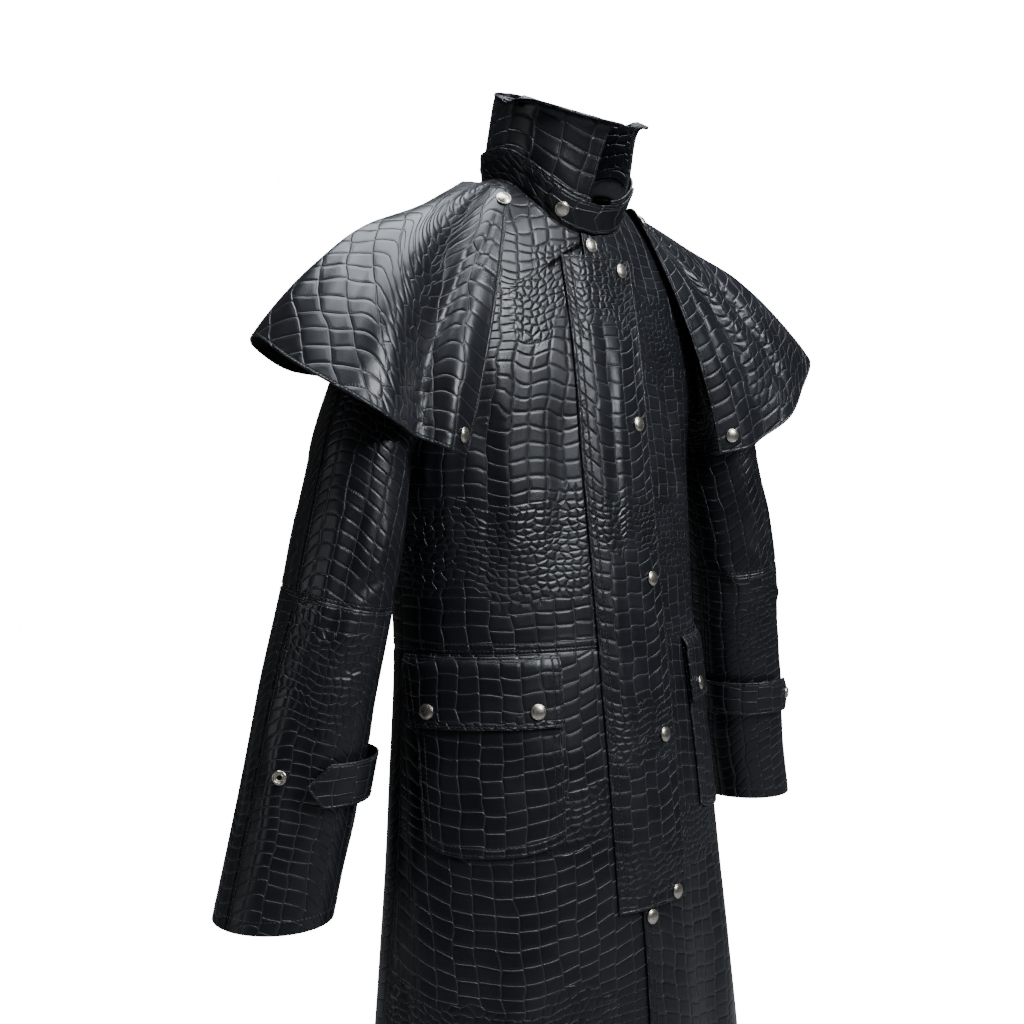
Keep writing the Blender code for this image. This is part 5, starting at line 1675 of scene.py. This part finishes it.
class COAT_OT_bodice(bpy.types.Operator):
    """Makes the two fronts and two backs of the bodice, with their stitching."""
    bl_idname = "coat.bodice"
    bl_label = "Make Bodice"

    def execute(self, context):
        lines = []
        for name, side in SIDES:
            *grids, cut = bodice_grid(side, False)
            lines += finish_panel("front_" + name, grids, ("back_" + name, "skirt_front_" + name), cut=cut,
                                  stitched=("end",), doubled=("bottom",), seams=("bottom", "start", "top"))
            *grids, cut = bodice_grid(side, True)
            lines += finish_panel("back_" + name, grids, ("front_" + name, "skirt_back_" + name), cut=cut,
                                  stitched=("end",), doubled=("bottom",), seams=EDGES)
        sew("bodice_stitching", lines)
        return {"FINISHED"}


class COAT_OT_skirt(bpy.types.Operator):
    """Makes the four skirt panels below the waist seam, with their stitching."""
    bl_idname = "coat.skirt"
    bl_label = "Make Skirt"

    def execute(self, context):
        lines = []
        for name, side in SIDES:
            lines += finish_panel("skirt_front_" + name, skirt_grid(side, False),
                                  ("front_" + name, "skirt_back_" + name), tiles_from_end=True,
                                  stitched=("start", "bottom"), doubled=("end",), seams=("top", "start"))
            lines += finish_panel("skirt_back_" + name, skirt_grid(side, True),
                                  ("back_" + name, "skirt_front_" + name), tiles_from_end=True,
                                  stitched=("end", "bottom"), seams=("top", "start", "end"))
        sew("skirt_stitching", lines)
        return {"FINISHED"}


class COAT_OT_storm_flap(bpy.types.Operator):
    """Makes the storm flap that covers the front edges, with its double stitching."""
    bl_idname = "coat.storm_flap"
    bl_label = "Make Storm Flap"

    def execute(self, context):
        sew("storm_flap_stitching",
            finish_panel("storm_flap", storm_flap_grid(), ("front_right", "skirt_front_right"),
                         stitched=("end", "top", "bottom"), doubled=("start",)))
        return {"FINISHED"}


class COAT_OT_collar(bpy.types.Operator):
    """Makes the collar stand, the turned-up leaf and the throat tab, with their stitching."""
    bl_idname = "coat.collar"
    bl_label = "Make Collar"

    def execute(self, context):
        edges = ("start", "end", "top")
        lines = finish_panel("collar_stand", stand_grid(),
                             ("front_left", "front_right", "back_left", "back_right"), stitched=edges)
        lines += finish_panel("collar_leaf", leaf_grid(), ("collar_stand",), stitched=edges, faced=True)
        lines += finish_panel("throat_tab", tab_grid(), ("collar_stand",), stitched=EDGES,
                              rows=("start", "bottom", "top"))
        sew("collar_stitching", lines)
        return {"FINISHED"}


class COAT_OT_sleeves(bpy.types.Operator):
    """Makes the upper and lower sleeves, with their elbow seams, outer seams and cuff hems."""
    bl_idname = "coat.sleeves"
    bl_label = "Make Sleeves"

    def execute(self, context):
        lines = []
        for name, side in SIDES:
            grids = upper_sleeve_grid(side)
            finish_panel("sleeve_upper_" + name, grids, ("front_" + name, "back_" + name), closed=True,
                         seams=("bottom", "top"), stitched=("top",), lines=(OUTER_SEAM, UNDER_SEAM),
                         cut=sleeve_cut(grids[0], -1))
            lines.append(inset_path(*grids, "top", FIRST_ROW))
            lines.append(line_path(*grids, OUTER_SEAM, -FIRST_ROW))
            grids = lower_sleeve_grid(side)
            finish_panel("sleeve_lower_" + name, grids, ("sleeve_upper_" + name,), closed=True,
                         seams=("bottom",), stitched=("bottom",), lines=(OUTER_SEAM, UNDER_SEAM),
                         cut=sleeve_cut(grids[0], 0))
            lines.append(inset_path(*grids, "bottom", FIRST_ROW))
            lines.append(inset_path(*grids, "top", CUFF_HEM_ROW))
            lines.append(line_path(*grids, OUTER_SEAM, -FIRST_ROW))
        sew("sleeve_stitching", lines)
        return {"FINISHED"}


class COAT_OT_cuff_straps(bpy.types.Operator):
    """Makes the open pointed straps on the cuffs, with their stitching."""
    bl_idname = "coat.cuff_straps"
    bl_label = "Make Cuff Straps"

    def execute(self, context):
        lines = []
        for name, side in SIDES:
            lines += finish_panel("cuff_strap_" + name, strap_grid(side), ("sleeve_lower_" + name,),
                                  stitched=EDGES)
        sew("cuff_strap_stitching", lines)
        return {"FINISHED"}


class COAT_OT_cape(bpy.types.Operator):
    """Makes both halves of the shoulder cape, with the stitching along their edges."""
    bl_idname = "coat.cape"
    bl_label = "Make Cape"

    def execute(self, context):
        lines = []
        for name, side in SIDES:
            grids = cape_grid(side)
            lines += finish_panel("cape_" + name, grids,
                                  ("front_" + name, "back_" + name, "sleeve_upper_" + name), held="draped",
                                  stitched=("start", "bottom", "top"), seams=("end",), cut=cape_cut(grids[0]))
        sew("cape_stitching", lines)
        return {"FINISHED"}


class COAT_OT_pockets(bpy.types.Operator):
    """Makes the patch pockets and their flaps, with their double stitching."""
    bl_idname = "coat.pockets"
    bl_label = "Make Pockets"

    def execute(self, context):
        lines = []
        for name, side in SIDES:
            lines += finish_panel("pocket_" + name, pocket_grid(side), ("skirt_front_" + name,),
                                  doubled=("start", "end", "bottom"))
            lines += finish_panel("pocket_flap_" + name, pocket_flap_grid(side), ("skirt_front_" + name,),
                                  doubled=("start", "end"), stitched=("bottom", "top"))
        sew("pocket_stitching", lines)
        return {"FINISHED"}


def seat(put, place, lift, side=1, toward=None):
    """A mirrored point put at a place and a lift, and the direction outward or toward another lift."""
    toward = lift + SEAT_STEP if toward is None else toward
    base, moved = (mirrored(put(*place, at), side) for at in (lift, toward))
    way = moved - base
    return base, way / np.linalg.norm(way)


def cape_snap_place(side, along, down):
    """Nearest place of the folded cape to its shares along and down."""
    outer, inner = cape_grid(side)
    target = mirrored(cape(side, along, down), side)
    index = np.argmin(np.linalg.norm(outer - target, axis=-1))
    row, column = np.unravel_index(index, outer.shape[:2])
    normal = outer[row, column] - inner[row, column]
    return outer[row, column], normal / np.linalg.norm(normal)


def cap_places():
    """Centre and outward direction of each snap cap, with the solid that it stands for."""
    places = {}
    for index in range(FLAP_SNAPS):
        z = FLAP_SNAP_TOP - FLAP_SNAP_PITCH * index
        lift = flap_lift(FLAP_SNAP_X) + flap_ripple(FLAP_SNAP_X, z)
        places["snap_flap_%d" % (index + 1)] = seat(on_front, (FLAP_SNAP_X, z), lift)
    for name, z in zip(("snap_front_top", "snap_front_bottom"), INNER_SNAP_HEIGHTS):
        places[name] = seat(on_front, (INNER_SNAP_X, z), LAYER)
    degrees, rise = THROAT_SNAP
    places["snap_throat"] = seat(lifted, (collar, math.radians(degrees), rise), LAYER)
    for name, side in SIDES:
        for spot, shares in (("top", CAPE_TOP_SNAP), ("hem", CAPE_HEM_SNAP)):
            places["snap_cape_%s_%s" % (spot, name)] = cape_snap_place(side, *shares)
        for spot, degrees in zip(("front", "side"), POCKET_SNAPS):
            angle = math.radians(degrees)
            level = POCKET_SNAP_Z - UNDERARM
            lift = POCKET_FLAP_LIFT + front_rise(side)(body(angle, level)[..., 0])
            places["snap_pocket_%s_%s" % (spot, name)] = seat(on_coat, (side, angle, level), lift, side)
    return places


def socket_places():
    """Centre and outward direction of each open snap socket."""
    places = {}
    for name, side in SIDES:
        angle = math.radians(SOCKET_PLACES[side])
        places["snap_socket_" + name] = seat(lifted, (folded_arm(side), angle, SOCKET_Z), 0.0, side)
        angle = math.radians(STRAP_TIP - STRAP_SNAP_BACK)
        lift = float(strap_lift(angle))
        toward = None
        if name in STRAP_SNAP_UNDER:
            lift, toward = lift - WALL - STRAP_SNAP_DROP, lift - 2 * WALL
        places["snap_strap_" + name] = seat(lifted, (arm, angle, STRAP_Z), lift, side, toward)
    return places


class COAT_OT_snaps(bpy.types.Operator):
    """Makes the domed snap caps and the open ring sockets."""
    bl_idname = "coat.snaps"
    bl_label = "Make Snaps"

    def execute(self, context):
        looks = context.scene.coat_looks
        metal = snap_metal_material()
        for title, places, is_socket, radius, height in (
                ("snap_caps", cap_places(), False, looks.snap_radius, looks.snap_height),
                ("snap_sockets", socket_places(), True, looks.socket_radius, looks.socket_height)):
            points, facing = zip(*places.values())
            obj = from_tree(title, snap_tree(title + "_tree", is_socket), points, [], facing, Radius=radius,
                            Height=height, Metal=metal)
            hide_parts(*places)
            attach(obj, "root")
        return {"FINISHED"}


def soft_light(name, place, target, size, power, colour):
    data = bpy.data.lights.new(name, "AREA")
    data.shape = "RECTANGLE"
    data.size, data.size_y = size
    data.energy = power
    data.color = colour
    obj = add_object(name, data)
    obj.location = place
    obj.rotation_euler = (Vector(target) - Vector(place)).to_track_quat("-Z", "Y").to_euler()


class COAT_OT_stage(bpy.types.Operator):
    """Makes the plain floor, the soft studio lights, the bright background and the camera."""
    bl_idname = "coat.stage"
    bl_label = "Make Stage"

    def execute(self, context):
        stage = context.scene.coat_stage
        floor_mesh = bpy.data.meshes.new("floor")
        corners = ((-1, -1), (1, -1), (1, 1), (-1, 1))
        floor_mesh.from_pydata([(x * FLOOR_REACH, y * FLOOR_REACH, HEM - FLOOR_DROP) for x, y in corners], [],
                               [(0, 1, 2, 3)])
        add_object("floor", floor_mesh)
        material, nodes, shader = new_material("plain_floor")
        floor_colour = brighter(stage.floor_colour, 0.3)
        for name, value in (("Base Color", (*floor_colour, 1.0)), ("Roughness", 0.9),
                            ("Specular IOR Level", 0.0), ("Emission Color", (1.0, 1.0, 1.0, 1.0))):
            nodes.put(shader[name], value)
        seen = nodes.new("ShaderNodeLightPath").outputs["Is Camera Ray"]
        nodes.put(shader["Emission Strength"], nodes.mul(seen, stage.backdrop_strength))
        floor_mesh.materials.append(material)

        world = bpy.data.worlds.new("studio")
        context.scene.world = world
        world.use_nodes = True
        nodes = Nodes(world.node_tree)
        room = world.node_tree.nodes["Background"].inputs
        seen = nodes.new("ShaderNodeLightPath").outputs["Is Camera Ray"]
        gap = stage.backdrop_strength - stage.ambient_strength
        nodes.put(room["Strength"], nodes.mul_add(seen, gap, stage.ambient_strength))
        nodes.put(room["Color"], (1.0, 1.0, 1.0, 1.0))

        soft_light("overhead_softbox", (0.10, 0.10, 1.60), (0.0, -0.05, -0.2), (1.9, 1.7), stage.key_power,
                   (0.86, 0.92, 1.0))
        soft_light("front_softbox", (0.40, -1.90, 0.95), (-0.05, -0.1, -0.35), (0.8, 1.1), stage.front_power,
                   (0.90, 0.94, 1.0))
        soft_light("side_softbox", (-2.3, 0.6, -0.2), (0.0, 0.0, -0.6), (0.5, 1.6), stage.rim_power,
                   (0.92, 0.95, 1.0))

        camera_data = bpy.data.cameras.new("camera")
        camera_data.lens = 47.46
        camera_data.sensor_width = 36.0
        camera = add_object("camera", camera_data)
        camera.location = (-0.9926, -1.0302, -0.27)
        camera.rotation_euler = (math.radians(87.12), 0.0, math.radians(-42.3))
        context.scene.camera = camera
        return {"FINISHED"}


class COAT_PT_panel(bpy.types.Panel):
    """Sizes, colours and steps of the coat."""
    bl_label = "Caped Duster Coat"
    bl_idname = "COAT_PT_panel"
    bl_space_type = "VIEW_3D"
    bl_region_type = "UI"
    bl_category = "Coat"

    def draw(self, context):
        for group in (context.scene.coat_looks, context.scene.coat_stage):
            box = self.layout.box()
            for name in group.bl_rna.properties.keys():
                if name not in ("rna_type", "name"):
                    box.prop(group, name)
        for operator in STEPS:
            self.layout.operator(operator.bl_idname)


STEPS = (COAT_OT_stage, COAT_OT_bodice, COAT_OT_skirt, COAT_OT_storm_flap, COAT_OT_collar, COAT_OT_sleeves,
         COAT_OT_cuff_straps, COAT_OT_cape, COAT_OT_pockets, COAT_OT_snaps)
CLASSES = (CoatLooks, StageLooks, *STEPS, COAT_PT_panel)


def register():
    for item in CLASSES:
        bpy.utils.register_class(item)
    bpy.types.Scene.coat_looks = bpy.props.PointerProperty(type=CoatLooks)
    bpy.types.Scene.coat_stage = bpy.props.PointerProperty(type=StageLooks)


def unregister():
    del bpy.types.Scene.coat_stage
    del bpy.types.Scene.coat_looks
    for item in reversed(CLASSES):
        bpy.utils.unregister_class(item)


def main():
    register()
    bpy.ops.coat.stage()
    bpy.ops.coat.bodice()
    bpy.ops.coat.skirt()
    bpy.ops.coat.storm_flap()
    bpy.ops.coat.collar()
    bpy.ops.coat.sleeves()
    bpy.ops.coat.cuff_straps()
    bpy.ops.coat.cape()
    bpy.ops.coat.pockets()
    bpy.ops.coat.snaps()


if __name__ == "__main__":
    main()
